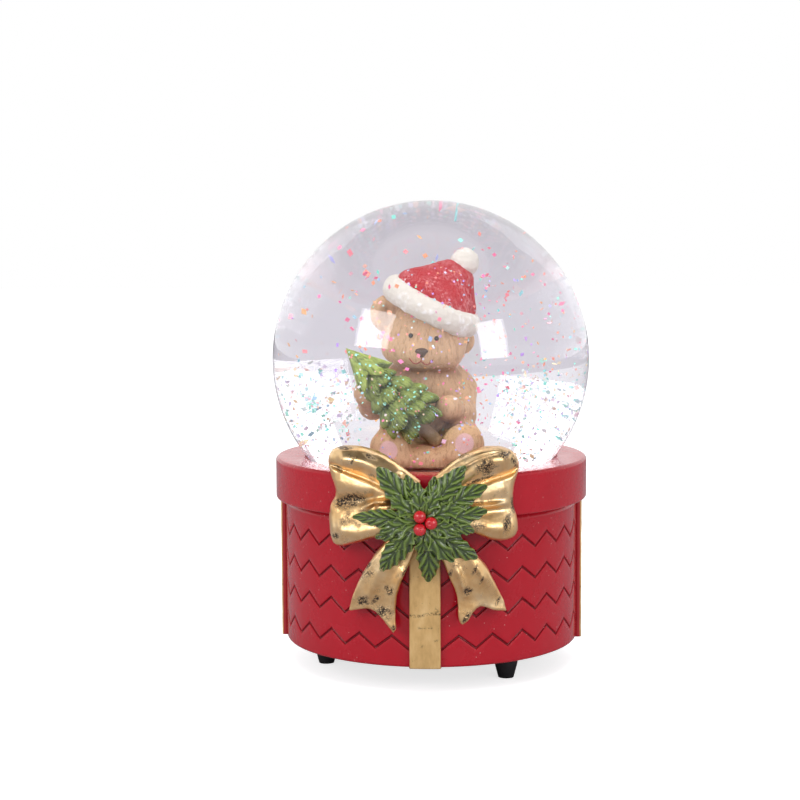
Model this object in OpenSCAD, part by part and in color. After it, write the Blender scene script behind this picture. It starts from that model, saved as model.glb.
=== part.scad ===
// Musical snow globe: a glass ball on a round gift box, with a bow, a small
// bear inside and a wind-up musical movement in the box.
// Millimetres, +Z up. The origin is on the surface the feet stand on, midway
// between the ball's back and the front of the berries. The globe's own axis
// stands axis_y behind it, and place() draws every sub-part about that axis.

/* [Globe] */
// Outer diameter of the glass ball
globe_d = 100; // [98:1:102]
// Thickness of the glass
glass_t = 2; // [1.5:0.25:2.5]
// Height of the ball's centre above the top of the lid
globe_rise = 30.4; // [30:0.1:31.5]
// Outer radius of the ball's neck
neck_r = 31; // [30:0.5:31]

/* [Box] */
// Height of the box's lower rim above the surface it stands on
stand_h = 8; // [8:0.5:10]
// Outer diameter of the box below the lid
body_d = 92.6; // [91:0.2:93]
// Height of the box that shows below the lid
body_h = 45; // [44:0.5:48]
// Thickness of the box's wall
wall_t = 3.5; // [3:0.25:4]
// Outer diameter of the lid
lid_d = 98.6; // [97.6:0.2:99]
// Height of the lid's side
lid_h = 12.9; // [12:0.1:13.5]
// How far the bottom cover lies inside the rim
cover_recess = 5; // [4.5:0.5:6]
// Thickness of the bottom cover
cover_t = 2; // [1.5:0.25:2.5]

/* [Ribbon and bow] */
// Width of each ribbon band on the box
band_w = 9.8; // [8:0.2:11]
// How far a ribbon band stands out of the box
band_t = 1.6; // [1:0.1:1.7]
// Turn of the ribbons about the globe's axis, which brings the front one under the bow
ribbon_turn = -2.3; // [-4:0.1:0]
// How far left of the middle the bow is
bow_x = -2.2; // [-4:0.1:0]
// Height of the bow's knot above the lower rim of the box
bow_rise = 46; // [44:0.5:48]
// Distance from the globe's axis to the front of the bow's loops
bow_front_r = 55; // [54:0.5:56]
// Radius of one berry
berry_r = 1.75; // [1.5:0.05:2]

/* [Feet] */
// Distance of each foot from the globe's axis
foot_ring_r = 34.2; // [33:0.2:35]
// Turn of the feet about the axis, from the front towards the right
foot_turn = 42; // [30:1:50]
// Radius of a foot where it stands
foot_r = 2.4; // [2:0.1:3]

/* [Movement] */
// Teeth of the drive wheel on the winding arbor
drive_teeth = 36; // [36]
// Teeth of the small pinion on the cylinder
pinion_teeth = 9; // [9]
// Tooth size of that pair, as pitch diameter for one tooth
drive_module = 0.76; // [0.76]
// Teeth of the gear at the other end of the cylinder
gear_teeth = 30; // [30]
// Teeth of the pinion on the intermediate arbor
mid_teeth = 10; // [10]
// Teeth of the worm wheel on the intermediate arbor
wheel_teeth = 20; // [20]
// Tooth size of those gears
fine_module = 0.5; // [0.5]
// Number of teeth in the steel comb
comb_teeth = 18; // [12:1:18]

/* [Hidden] */
$fn = 96;

// Heights
rim_z = stand_h;
lid_z = rim_z + body_h;
lid_top = lid_z + lid_h;
globe_r = globe_d / 2;
globe_z = lid_top + globe_rise;
inner_r = globe_r - glass_t;
body_r = body_d / 2;
bore_r = body_r - wall_t;
lid_r = lid_d / 2;
body_top = lid_z + 5;
cover_z = rim_z + cover_recess;
deck_z = cover_z + cover_t;
function ball_r_at(z, r) = sqrt(r * r - (z - globe_z) * (z - globe_z));
function ball_z_at(x, r) = globe_z - sqrt(r * r - x * x);

// Lid, seat and neck
edge_r = 1.8;
skirt_gap = 0.1;
shelf_top = body_top + 2;
shelf_r = ball_r_at(shelf_top, globe_r) + 0.6;
mouth_r = ball_r_at(lid_top, globe_r) + 0.3;
seat_h = 3;
neck_t = 2;
neck_z = ball_z_at(neck_r, globe_r) - 2.5;
plug_r = neck_r - neck_t;
plug_top = neck_z + 7;
plug_flange = 2;

// Figure, in heights above the pedestal's foot
figure_z = plug_top + 7;
figure_fn = 24;
cavity_r = 29.5;
cavity_shoulder = figure_z + 36;
cavity_top = figure_z + 58;
water_gap = 0.05;

// Bow
bow_z = rim_z + bow_rise;
bow_back_r = lid_r + 0.05;
tail_back_r = body_r + band_t + 1.3;
tail_t = 2;
knot_r = 5;
leaf_t = 2;
leaf_front_r = bow_front_r + leaf_t;
berry_y = leaf_front_r + 0.25;
front_reach = berry_y + berry_r;
axis_y = (front_reach - globe_r) / 2;
// Each leaf's tip, as its direction in degrees and its distance from the middle
leaf_tips = [[10, 17], [30, 20], [56, 20.5], [93, 12], [131, 22], [177, 21], [231, 21],
             [270, 19.5], [324, 18.5]];
leaf_root = 9.5;

// Feet and screws
feet = [for (i = [0:2]) foot_turn + 120 * i - 90];
bosses = [60, 180, 300];
boss_ring_r = 38.2;
boss_r = 3.5;
boss_h = 9;
screw_r = 1.2;
screw_head_r = 2.4;
screw_head_h = 1.3;

movement_holes = [[-11, -16], [-11, 20], [30, -22]];

// Winding train, on the globe's axis
arbor_r = 2;
run_gap = 0.06;
plate_t = 2;
plate_top = deck_z + plate_t;
barrel_r = 13;
barrel_h = 10;
barrel_t = 1;
barrel_top = plate_top + barrel_h;
wheel_z = barrel_top + 1.2;
wheel_t = 1.8;
crown_r = drive_module * drive_teeth / 2;
pinion_r = drive_module * pinion_teeth / 2;
crown_face = 2.2;
crown_pitch_z = wheel_z + wheel_t + drive_module;
arbor_top = wheel_z + wheel_t + 2.5;
key_top = cover_z - 0.8;
key_wing_z = 5.2;
key_lobe_x = 5.5;
key_lobe_r = 3.6;
key_wing_t = 1.8;
key_hub_r = 3.5;
key_hub_z = 3;

// Cylinder, along X at the height where its pinion meets the drive wheel
cyl_z = crown_pitch_z + pinion_r;
near_bearing = [15.6, 16.7];
drum_x = [17.2, 28];
drum_r = 6.3;
pin_out = 0.65;
gear_x = [28.4, 30.4];
far_bearing = [34.6, 36];
shaft_r = 1.2;
gear_r = fine_module * gear_teeth / 2;
mid_r = fine_module * mid_teeth / 2;
worm_wheel_r = fine_module * wheel_teeth / 2;
mid_y = gear_r + mid_r;
mid_bearing = [24, 25.4];
mid_shaft_r = 0.8;
worm_wheel_x = [31.4, 33.4];

// Governor, upright beside the worm wheel
worm_r = 2;
worm_len = 8;
worm_pitch = PI * fine_module;
worm_root = worm_r - 0.5;
worm_tip = worm_r + 0.4;
worm_x = (worm_wheel_x[0] + worm_wheel_x[1]) / 2;
worm_y = mid_y + worm_wheel_r + worm_r;
gov_shaft_r = 0.6;
gov_foot = cyl_z - worm_len / 2 - 2;
gov_head = cyl_z + worm_len / 2 + 8;
gov_arm_t = 1.2;
fly_span = 4.3;
fly_h = 5;
fly_z = cyl_z + worm_len / 2 + 1.2;

// Comb
comb_z = cyl_z - 0.6;
comb_pitch = (drum_x[1] - drum_x[0]) / comb_teeth;
comb_tip_y = drum_r + pin_out + 0.35;
comb_reach = 9;
comb_t = 0.6;
comb_block_t = 2.4;
comb_depth = 8;
comb_screw_x = [drum_x[0] + 2, drum_x[1] - 2];

// --- Shared shapes ---------------------------------------------------------

module place() { translate([0, axis_y, 0]) children(); }

// A turned ring between two radii and two heights, with rounded outer edges
module turned_ring(r_in, r_out, z0, z1, top_round = 0, foot_round = 0) {
    steps = 6;
    outline = concat(
        [[r_in, z0]],
        [for (i = [0:steps]) let (a = -90 + 90 * i / steps)
            [r_out - foot_round + foot_round * cos(a), z0 + foot_round + foot_round * sin(a)]],
        [for (i = [0:steps]) let (a = 90 * i / steps)
            [r_out - top_round + top_round * cos(a), z1 - top_round + top_round * sin(a)]],
        [[r_in, z1]]);
    rotate_extrude() polygon(outline);
}

// A plain tube between two radii and two heights
module tube(r_in, r_out, z0, z1) {
    difference() {
        translate([0, 0, z0]) cylinder(r = r_out, h = z1 - z0);
        translate([0, 0, z0 - 1]) cylinder(r = r_in, h = z1 - z0 + 2);
    }
}

// A ball, and a round bar with ball ends, for the small cast pieces
module ball(at, r) { hull() translate(at) sphere(r, $fn = figure_fn); }

module bar(a, b, r) {
    hull() for (p = [a, b]) translate(p) sphere(r, $fn = figure_fn);
}

// An outline seen from the front, pushed back through the space between two
// cylinders about the globe's axis
module wrapped(r_in, r_out) {
    intersection() {
        tube(r_in, r_out, 0, globe_z);
        rotate([90, 0, 0]) linear_extrude(height = 2 * globe_r) children();
    }
}

// A shaft along X
module shaft_x(r, x0, x1, y, z) {
    translate([x0, y, z]) rotate([0, 90, 0]) cylinder(r = r, h = x1 - x0);
}

// The outline of a gear: tooth 0 lies along +X, turned by phase
module gear_outline(teeth, m, phase = 0) {
    pitch = m * teeth / 2;
    half = 90 / teeth;
    polygon([for (i = [0:teeth - 1]) let (a = phase + 360 * i / teeth)
        each [for (p = [[-1.3, -1.2], [-0.68, 0], [-0.28, 0.85], [0.28, 0.85], [0.68, 0], [1.3, -1.2]])
            (pitch + m * p[1]) * [cos(a + half * p[0]), sin(a + half * p[0])]]]);
}

// A gear on a shaft along X: tooth 0 points along +Y, turned by phase towards +Z
module gear_x(teeth, m, x0, x1, y, z, bore, phase = 0) {
    difference() {
        translate([x0, y, z]) rotate([90, 0, 90]) linear_extrude(height = x1 - x0)
            gear_outline(teeth, m, phase);
        shaft_x(bore, x0 - 1, x1 + 1, y, z);
    }
}

// --- Globe -----------------------------------------------------------------

module glass_globe() {
    color([0.92, 0.95, 0.97, 0.35]) place() rotate_extrude() difference() {
        union() {
            intersection() {
                translate([0, globe_z]) circle(globe_r);
                translate([0, ball_z_at(plug_r, inner_r)]) square([globe_r + 1, 2 * globe_r]);
            }
            translate([0, neck_z]) square([neck_r, 4.5]);
        }
        translate([0, globe_z]) circle(inner_r);
        translate([-1, neck_z - 1]) square([plug_r + 1, 6]);
        translate([-2 * globe_r, 0]) square([2 * globe_r, 4 * globe_r]);
    }
}

module water_fill() {
    r = inner_r - water_gap;
    z0 = plug_top;
    a0 = asin((z0 - globe_z) / r);
    steps = 24;
    color([0.85, 0.93, 0.98, 0.25]) place() rotate_extrude() polygon(concat(
        [for (i = [0:steps]) let (a = a0 + (90 - a0) * i / steps)
            i == steps ? [0, globe_z + r] : [r * cos(a), globe_z + r * sin(a)]],
        [[0, cavity_top], [14, cavity_top], [cavity_r, cavity_shoulder], [cavity_r, z0]]));
}

module rubber_stopper() {
    color([0.2, 0.2, 0.21]) place() union() {
        translate([0, 0, neck_z - 0.5]) cylinder(r = plug_r, h = plug_top - neck_z + 0.5);
        translate([0, 0, neck_z - plug_flange]) cylinder(r = neck_r, h = plug_flange);
    }
}

module globe_seat_ring() {
    z1 = shelf_top + seat_h;
    color([0.85, 0.85, 0.86]) place() rotate_extrude() polygon([
        [shelf_r, shelf_top], [mouth_r - 0.1, shelf_top], [mouth_r - 0.1, z1],
        [ball_r_at(z1, globe_r) + 0.5, z1]]);
}

// --- Figure ----------------------------------------------------------------
// The bear sits on the pedestal, facing the front, and holds a small tree that
// leans to its right. Heights here are above the pedestal's top.

head_at = [-0.8, -2, figure_z + 33];
head_r = 10;
brim_at = [-0.3, -2.5, figure_z + 41];
brim_tilt = [-10, 25, 0];
pompom_at = [8, 2, figure_z + 51];
pompom_r = 3.2;
trunk_foot = [1.4, -17.5, figure_z + 8.2];
tree_foot = [-3, -17, figure_z + 12.5];
tree_tip = [-21.5, -15.5, figure_z + 31.5];

module figure_pedestal() {
    color([0.93, 0.9, 0.88]) place() turned_ring(0, 19, plug_top, figure_z, 2, 0);
}

module bear_solid() {
    f = figure_z;
    difference() {
        union() {
            ball([-1, 2, f + 12], 12.2);
            ball([-1, 0.5, f + 21], 9.6);
            ball(head_at, head_r);
            ball(head_at + [-1.2, -7.6, -3.2], 4.2);
            ball(head_at + [-10.2, 1.8, 7], 3.5);
            ball(head_at + [8.8, 1.2, -1], 3.2);
            bar([-9, -1, f + 22], [-15, -10.5, f + 20], 3.6);
            bar([8, -1, f + 21], [4.6, -13.5, f + 16.6], 3.6);
            bar([-7, -5, f + 4.6], [-11.6, -17, f + 5.4], 5.2);
            bar([5, -5, f + 4.6], [8.6, -17, f + 6.2], 5.2);
        }
        translate([0, 0, f - 20]) cylinder(r = cavity_r, h = 20);
    }
}

module brim_solid() {
    translate(brim_at) rotate(brim_tilt) rotate_extrude($fn = figure_fn + 8) translate([9.2, 0])
        circle(2.5, $fn = figure_fn / 2);
}

module bear_figure() { color([0.84, 0.69, 0.51]) place() bear_solid(); }

module santa_hat() {
    color([0.76, 0.14, 0.18]) place() difference() {
        union() {
            ball([1.1, -1, figure_z + 42.6], 9.4);
            bar([1.5, -0.5, figure_z + 48], [6, 1.5, figure_z + 50], 3.2);
        }
        bear_solid();
        brim_solid();
        ball(pompom_at, pompom_r);
        translate([1.1, -1, figure_z + 20]) cylinder(r = 14, h = 20, $fn = figure_fn);
    }
}

module hat_trim() {
    color([0.93, 0.9, 0.84]) place() {
        difference() {
            brim_solid();
            bear_solid();
        }
        ball(pompom_at, pompom_r);
    }
}

module tree_solid() {
    d = tree_tip - tree_foot;
    translate(tree_foot) rotate([0, acos(d[2] / norm(d)), atan2(d[1], d[0])])
        cylinder(r1 = 9.2, r2 = 0.8, h = norm(d), $fn = figure_fn);
}

module christmas_tree() {
    color([0.42, 0.55, 0.22]) place() difference() {
        tree_solid();
        bear_solid();
    }
}

module tree_trunk() {
    d = tree_foot - trunk_foot;
    color([0.42, 0.28, 0.16]) place() difference() {
        translate(trunk_foot) rotate([0, acos(d[2] / norm(d)), atan2(d[1], d[0])])
            cylinder(r = 2, h = norm(d), $fn = figure_fn);
        tree_solid();
        bear_solid();
    }
}

// --- Box -------------------------------------------------------------------

module box_lid() {
    color([0.72, 0.12, 0.17]) place() difference() {
        turned_ring(shelf_r, lid_r, lid_z, lid_top, edge_r, 1.2);
        translate([0, 0, lid_z - 1]) cylinder(r = body_r + skirt_gap, h = body_top - lid_z + 1);
        translate([0, 0, shelf_top]) cylinder(r = mouth_r, h = lid_h);
    }
}

module box_body() {
    color([0.72, 0.12, 0.17]) place() difference() {
        union() {
            turned_ring(bore_r, body_r, rim_z, body_top, 0.4, 0.8);
            for (a = bosses) rotate([0, 0, a]) {
                translate([boss_ring_r, 0, deck_z]) cylinder(r = boss_r, h = boss_h);
                translate([boss_ring_r, -boss_r + 0.5, deck_z])
                    cube([bore_r + 1 - boss_ring_r, 2 * boss_r - 1, boss_h]);
            }
        }
        for (a = bosses) rotate([0, 0, a])
            translate([boss_ring_r, 0, deck_z - 1]) cylinder(r = screw_r, h = boss_h);
    }
}

// A ribbon band down the box's side, centred at an angle from the front
module ribbon_band(turn) {
    spread = 2 * asin(band_w / 2 / (body_r + band_t));
    color([0.8, 0.65, 0.37]) place() rotate([0, 0, turn + ribbon_turn - 90 - spread / 2])
        rotate_extrude(angle = spread) translate([body_r, rim_z]) square([band_t, body_h - 0.1]);
}

module ribbon_front() { ribbon_band(0); }
module ribbon_right() { ribbon_band(90); }
module ribbon_back() { ribbon_band(180); }
module ribbon_left() { ribbon_band(-90); }

// --- Bow -------------------------------------------------------------------
// Outlines are seen from the front, with the knot at the origin and one side
// drawn; the other side is its mirror image.

module loop_outline() {
    offset(r = 1.5, $fn = 24) offset(delta = -1.5) polygon([
        [3, 3], [9, 13.6], [16, 18.9], [22, 19.8], [27.6, 16.2], [27.7, 10.5], [25.6, 4.4],
        [26.6, 0.3], [28, -5.8], [26.3, -10.2], [21, -9.8], [15, -7], [3, -4]]);
}

module tail_outline() {
    polygon([[3.5, -2], [10.5, -9.3], [16.5, -17], [20.5, -23.6], [23, -29.6], [18, -28.6],
        [14.8, -28.6], [12.3, -30.6], [10, -34], [8.6, -27], [6.5, -18], [3, -7]]);
}

module at_bow(side) {
    translate([bow_x, bow_z]) mirror([side < 0 ? 1 : 0, 0]) children();
}

module knot_space() {
    translate([bow_x, 0, bow_z]) rotate([90, 0, 0]) cylinder(r = knot_r, h = 2 * globe_r);
}

module tail_solid(side) {
    wrapped(tail_back_r, tail_back_r + tail_t) at_bow(side) tail_outline();
}

module bow_loop(side) {
    color([0.8, 0.65, 0.37]) place() difference() {
        wrapped(bow_back_r, bow_front_r) at_bow(side) loop_outline();
        knot_space();
        tail_solid(side);
    }
}

module bow_tail(side) {
    color([0.8, 0.65, 0.37]) place() difference() {
        tail_solid(side);
        knot_space();
    }
}

module bow_loop_left() { bow_loop(-1); }
module bow_loop_right() { bow_loop(1); }
module bow_tail_left() { bow_tail(-1); }
module bow_tail_right() { bow_tail(1); }

module bow_knot() {
    color([0.8, 0.65, 0.37]) place() intersection() {
        tube(bow_back_r, bow_front_r, 0, globe_z);
        knot_space();
    }
}

module holly_leaves() {
    color([0.3, 0.45, 0.14]) place() wrapped(bow_front_r + 0.05, leaf_front_r)
        translate([bow_x, bow_z]) polygon([for (i = [0:len(leaf_tips) - 1])
            let (t = leaf_tips[i], next = leaf_tips[(i + 1) % len(leaf_tips)][0],
                 valley = (t[0] + next + (next < t[0] ? 360 : 0)) / 2)
            each [t[1] * [cos(t[0]), sin(t[0])], leaf_root * [cos(valley), sin(valley)]]]);
}

module holly_berries() {
    spread = 2.2;
    seat = berry_y - leaf_front_r - 0.05;
    color([0.75, 0.05, 0.08]) place() for (a = [0, 120, 240])
        translate([bow_x + spread * cos(a), -berry_y, bow_z - 0.5 + spread * sin(a)])
            rotate([90, 0, 0]) rotate_extrude() intersection() {
                circle(berry_r);
                translate([0, -seat]) square([berry_r + 1, berry_r + seat + 1]);
            }
}

// --- Underside -------------------------------------------------------------

module bottom_cover() {
    color([0.07, 0.07, 0.07]) place() difference() {
        translate([0, 0, cover_z]) cylinder(r = bore_r - 0.15, h = cover_t);
        translate([0, 0, cover_z - 1]) cylinder(r = arbor_r + 0.6, h = cover_t + 2);
        for (a = bosses) rotate([0, 0, a])
            translate([boss_ring_r, 0, cover_z - 1]) cylinder(r = screw_r + 0.2, h = cover_t + 2);
        for (p = movement_holes) translate([p[0], p[1], cover_z - 1])
            cylinder(r = screw_r + 0.2, h = cover_t + 2);
    }
}

module cover_feet() {
    toe_h = 4.2;
    toe_r = foot_r + 1.1;
    color([0.05, 0.05, 0.05]) place() for (a = feet) rotate([0, 0, a]) translate([foot_ring_r, 0, 0])
        rotate_extrude() polygon([[0, 0], [foot_r, 0], [toe_r, toe_h], [toe_r + 1.3, cover_z],
            [0, cover_z]]);
}

// A screw driven upwards, its head's underside against z
module screw_up(z, length) {
    translate([0, 0, z]) cylinder(r = screw_r, h = length);
    difference() {
        translate([0, 0, z - screw_head_h]) cylinder(r = screw_head_r, h = screw_head_h);
        for (a = [0, 90]) rotate([0, 0, a]) translate([-1.5, -0.25, z - screw_head_h - 1])
            cube([3, 0.5, 1.7]);
    }
}

module cover_screws() {
    color([0.55, 0.55, 0.57]) place() for (a = bosses) rotate([0, 0, a])
        translate([boss_ring_r, 0, 0]) screw_up(cover_z, cover_t + boss_h - 2);
}

// --- Movement --------------------------------------------------------------

module movement_bedplate() {
    color([0.7, 0.71, 0.72]) place() difference() {
        intersection() {
            translate([-16, -27, deck_z]) cube([54, 53, plate_t]);
            translate([0, 0, deck_z]) cylinder(r = bore_r - 1.4, h = plate_t);
        }
        translate([0, 0, deck_z - 1]) cylinder(r = arbor_r + run_gap, h = plate_t + 2);
        for (p = movement_holes) translate([p[0], p[1], deck_z - 1]) cylinder(r = screw_r, h = plate_t + 2);
    }
}

module movement_screws() {
    color([0.75, 0.7, 0.5]) place() for (p = movement_holes)
        translate([p[0], p[1], 0]) screw_up(cover_z, cover_t + plate_t);
}

module spring_barrel() {
    color([0.78, 0.78, 0.76]) place() difference() {
        translate([0, 0, plate_top]) cylinder(r = barrel_r, h = barrel_h);
        translate([0, 0, plate_top - 1]) cylinder(r = barrel_r - barrel_t, h = barrel_h + 1 - barrel_t);
        translate([0, 0, barrel_top - 2]) cylinder(r = arbor_r + run_gap, h = 3);
    }
}

module mainspring() {
    turns = 7;
    steps = 20;
    strip_t = 0.35;
    first_r = 3.4;
    last_r = barrel_r - barrel_t - 0.5;
    widen = (last_r - first_r) / (turns * steps);
    function coil(i, t) = (first_r + widen * i + t) * [cos(360 * i / steps), sin(360 * i / steps)];
    color([0.3, 0.33, 0.4]) place() translate([0, 0, plate_top + 0.4])
        linear_extrude(height = barrel_h - barrel_t - 0.8) polygon(concat(
            [for (i = [0:turns * steps]) coil(i, 0)],
            [for (i = [turns * steps:-1:0]) coil(i, strip_t)]));
}

module music_comb() {
    y0 = -comb_tip_y - comb_reach;
    color([0.72, 0.73, 0.75]) place() {
        difference() {
            translate([drum_x[0] - 1.5, y0 - comb_depth, comb_z - comb_block_t])
                cube([drum_x[1] - drum_x[0] + 3, comb_depth, comb_block_t]);
            for (x = comb_screw_x) translate([x, y0 - comb_depth / 2, comb_z - comb_block_t - 1])
                cylinder(r = screw_r, h = comb_block_t + 2);
        }
        for (i = [0:comb_teeth - 1])
            translate([drum_x[0] + (i + 0.15) * comb_pitch, y0 - 0.5, comb_z - comb_t])
                cube([comb_pitch * 0.7, comb_reach + 0.5, comb_t]);
    }
}

module comb_screws() {
    y = -comb_tip_y - comb_reach - comb_depth / 2;
    color([0.75, 0.7, 0.5]) place() for (x = comb_screw_x) translate([x, y, 0]) {
        translate([0, 0, comb_z - comb_block_t]) cylinder(r = screw_r, h = comb_block_t);
        difference() {
            translate([0, 0, comb_z]) cylinder(r = screw_head_r, h = screw_head_h);
            translate([-3, -0.3, comb_z + 0.6]) cube([6, 0.6, 1]);
        }
    }
}

// The cast standards that carry the comb and both horizontal arbors
module cylinder_bearings() {
    comb_y = -comb_tip_y - comb_reach - comb_depth;
    top = cyl_z + 3.4;
    color([0.7, 0.71, 0.72]) place() {
        difference() {
            union() {
                translate([near_bearing[0], -4, plate_top])
                    cube([near_bearing[1] - near_bearing[0], 8, top - plate_top]);
                translate([far_bearing[0], -4, plate_top])
                    cube([far_bearing[1] - far_bearing[0], mid_y + 6.5, top - plate_top]);
                translate([mid_bearing[0], mid_y - 1.6, plate_top])
                    cube([mid_bearing[1] - mid_bearing[0], 3.6, cyl_z + 2 - plate_top]);
            }
            shaft_x(shaft_r + run_gap, near_bearing[0] - 1, far_bearing[1] + 1, 0, cyl_z);
            shaft_x(mid_shaft_r + run_gap, mid_bearing[0] - 1, far_bearing[1] + 1, mid_y, cyl_z);
        }
        translate([drum_x[0] - 1.5, comb_y, plate_top])
            cube([drum_x[1] - drum_x[0] + 3, comb_depth, comb_z - comb_block_t - plate_top]);
    }
}

module governor_bracket() {
    post_y = worm_y + fly_span + 0.5;
    color([0.7, 0.71, 0.72]) place() difference() {
        union() {
            translate([worm_x - 2, post_y, plate_top]) cube([4, 2.2, gov_head + gov_arm_t - plate_top]);
            for (z = [gov_foot - gov_arm_t, gov_head]) translate([worm_x - 2, worm_y - 1.5, z])
                cube([4, post_y - worm_y + 2.5, gov_arm_t]);
        }
        translate([worm_x, worm_y, plate_top + 1]) cylinder(r = gov_shaft_r + run_gap, h = gov_head);
    }
}

// --- Turning parts ---------------------------------------------------------

module winding_arbor() {
    color([0.75, 0.75, 0.76]) place() translate([0, 0, key_hub_z + 2])
        cylinder(r = arbor_r, h = arbor_top - key_hub_z - 2);
}

module winding_key() {
    color([0.8, 0.66, 0.36]) place() difference() {
        union() {
            translate([0, 0, key_hub_z]) cylinder(r = key_hub_r, h = key_top - key_hub_z);
            translate([-key_lobe_x, -key_wing_t / 2, key_wing_z - 2.6])
                cube([2 * key_lobe_x, key_wing_t, 5.2]);
            for (s = [-1, 1]) translate([s * key_lobe_x, key_wing_t / 2, key_wing_z])
                rotate([90, 0, 0]) cylinder(r = key_lobe_r, h = key_wing_t);
        }
        translate([0, 0, key_hub_z + 2]) cylinder(r = arbor_r, h = key_top);
    }
}

// The drive wheel's teeth stand up on its face, with a gap along +X
module drive_wheel() {
    tooth = [[-0.7, -1.2], [0.7, -1.2], [0.55, 0], [0.36, 0.9], [-0.36, 0.9], [-0.55, 0]];
    rim_r = crown_r + crown_face / 2;
    color([0.8, 0.68, 0.4]) place() difference() {
        union() {
            translate([0, 0, wheel_z]) cylinder(r = rim_r, h = wheel_t);
            translate([0, 0, wheel_z]) cylinder(r = 4, h = wheel_t + 2);
            for (i = [0:drive_teeth - 1]) rotate([0, 0, (i + 0.5) * 360 / drive_teeth])
                translate([crown_r - crown_face / 2 - 0.1, 0, crown_pitch_z]) rotate([90, 0, 90])
                    linear_extrude(height = crown_face) polygon(drive_module * tooth);
        }
        translate([0, 0, wheel_z - 1]) cylinder(r = arbor_r, h = wheel_t + 5);
    }
}

module pinned_cylinder() {
    rows = 12;
    color([0.82, 0.7, 0.42]) place() union() {
        shaft_x(shaft_r, crown_r - crown_face / 2 - 0.6, far_bearing[1] - 0.1, 0, cyl_z);
        shaft_x(drum_r, drum_x[0], drum_x[1], 0, cyl_z);
        for (i = [0:3 * rows - 1]) let (lane = (i * 7) % comb_teeth + 0.5)
            translate([drum_x[0] + lane * comb_pitch, 0, cyl_z])
                rotate([i * 360 / (3 * rows) + 5, 0, 0]) translate([0, 0, drum_r - 0.2])
                    cylinder(r = 0.2, h = pin_out + 0.2, $fn = 6);
    }
}

module cylinder_pinion() {
    color([0.75, 0.75, 0.76]) place() gear_x(pinion_teeth, drive_module, crown_r - crown_face / 2,
        crown_r + crown_face / 2 - 0.3, 0, cyl_z, shaft_r, -90);
}

module cylinder_gear() {
    color([0.82, 0.7, 0.42]) place() gear_x(gear_teeth, fine_module, gear_x[0], gear_x[1], 0, cyl_z,
        shaft_r, 0);
}

module intermediate_arbor() {
    color([0.75, 0.75, 0.76]) place() union() {
        shaft_x(mid_shaft_r, mid_bearing[0] + 0.1, far_bearing[1] - 0.1, mid_y, cyl_z);
        translate([gear_x[0], mid_y, cyl_z]) rotate([90, 0, 90])
            linear_extrude(height = gear_x[1] - gear_x[0])
                gear_outline(mid_teeth, fine_module, 180 + 180 / mid_teeth);
    }
}

module worm_wheel() {
    color([0.9, 0.88, 0.8]) place() gear_x(wheel_teeth, fine_module, worm_wheel_x[0], worm_wheel_x[1],
        mid_y, cyl_z, mid_shaft_r, 180 / wheel_teeth);
}

// A single thread around the upright shaft, which passes the worm wheel's
// middle height on the side that faces the wheel
module governor_worm() {
    per_turn = 16;
    turns = worm_len / worm_pitch;
    rings = floor(turns * per_turn);
    deep = worm_root - 0.3;
    thread = [[deep, -0.42], [worm_tip, -0.14], [worm_tip, 0.14], [deep, 0.42]];
    function ring(i) = let (a = 360 * i / per_turn - 90, z = (i / per_turn - floor(turns / 2)) * worm_pitch)
        [for (p = thread) [p[0] * cos(a), p[0] * sin(a), z + p[1]]];
    points = [for (i = [0:rings]) each ring(i)];
    sides = [for (i = [0:rings - 1], k = [0:3]) let (a = 4 * i + k, b = 4 * i + (k + 1) % 4)
        each [[a, b, b + 4], [a, b + 4, a + 4]]];
    ends = [[3, 2, 1, 0], [4 * rings, 4 * rings + 1, 4 * rings + 2, 4 * rings + 3]];
    color([0.82, 0.7, 0.42]) place() translate([worm_x, worm_y, cyl_z]) union() {
        polyhedron(points, concat(sides, ends));
        translate([0, 0, -worm_len / 2 - 0.5]) cylinder(r = worm_root, h = worm_len + 1);
        translate([0, 0, gov_foot - gov_arm_t - cyl_z]) cylinder(r = gov_shaft_r,
            h = gov_head - gov_foot + 2 * gov_arm_t);
    }
}

module governor_fly() {
    color([0.85, 0.85, 0.86]) place() translate([worm_x, worm_y, 0]) difference() {
        union() {
            translate([-fly_span, -0.15, fly_z]) cube([2 * fly_span, 0.3, fly_h]);
            translate([0, 0, fly_z]) cylinder(r = 1.1, h = fly_h);
        }
        translate([0, 0, fly_z - 1]) cylinder(r = gov_shaft_r, h = fly_h + 2);
    }
}

glass_globe();
water_fill();
rubber_stopper();
globe_seat_ring();
figure_pedestal();
bear_figure();
santa_hat();
hat_trim();
christmas_tree();
tree_trunk();
box_lid();
box_body();
ribbon_front();
ribbon_right();
ribbon_back();
ribbon_left();
bow_loop_left();
bow_loop_right();
bow_tail_left();
bow_tail_right();
bow_knot();
holly_leaves();
holly_berries();
bottom_cover();
cover_feet();
cover_screws();
movement_bedplate();
movement_screws();
spring_barrel();
mainspring();
music_comb();
comb_screws();
cylinder_bearings();
governor_bracket();
winding_arbor();
winding_key();
drive_wheel();
pinned_cylinder();
cylinder_pinion();
cylinder_gear();
intermediate_arbor();
worm_wheel();
governor_worm();
governor_fly();
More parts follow.
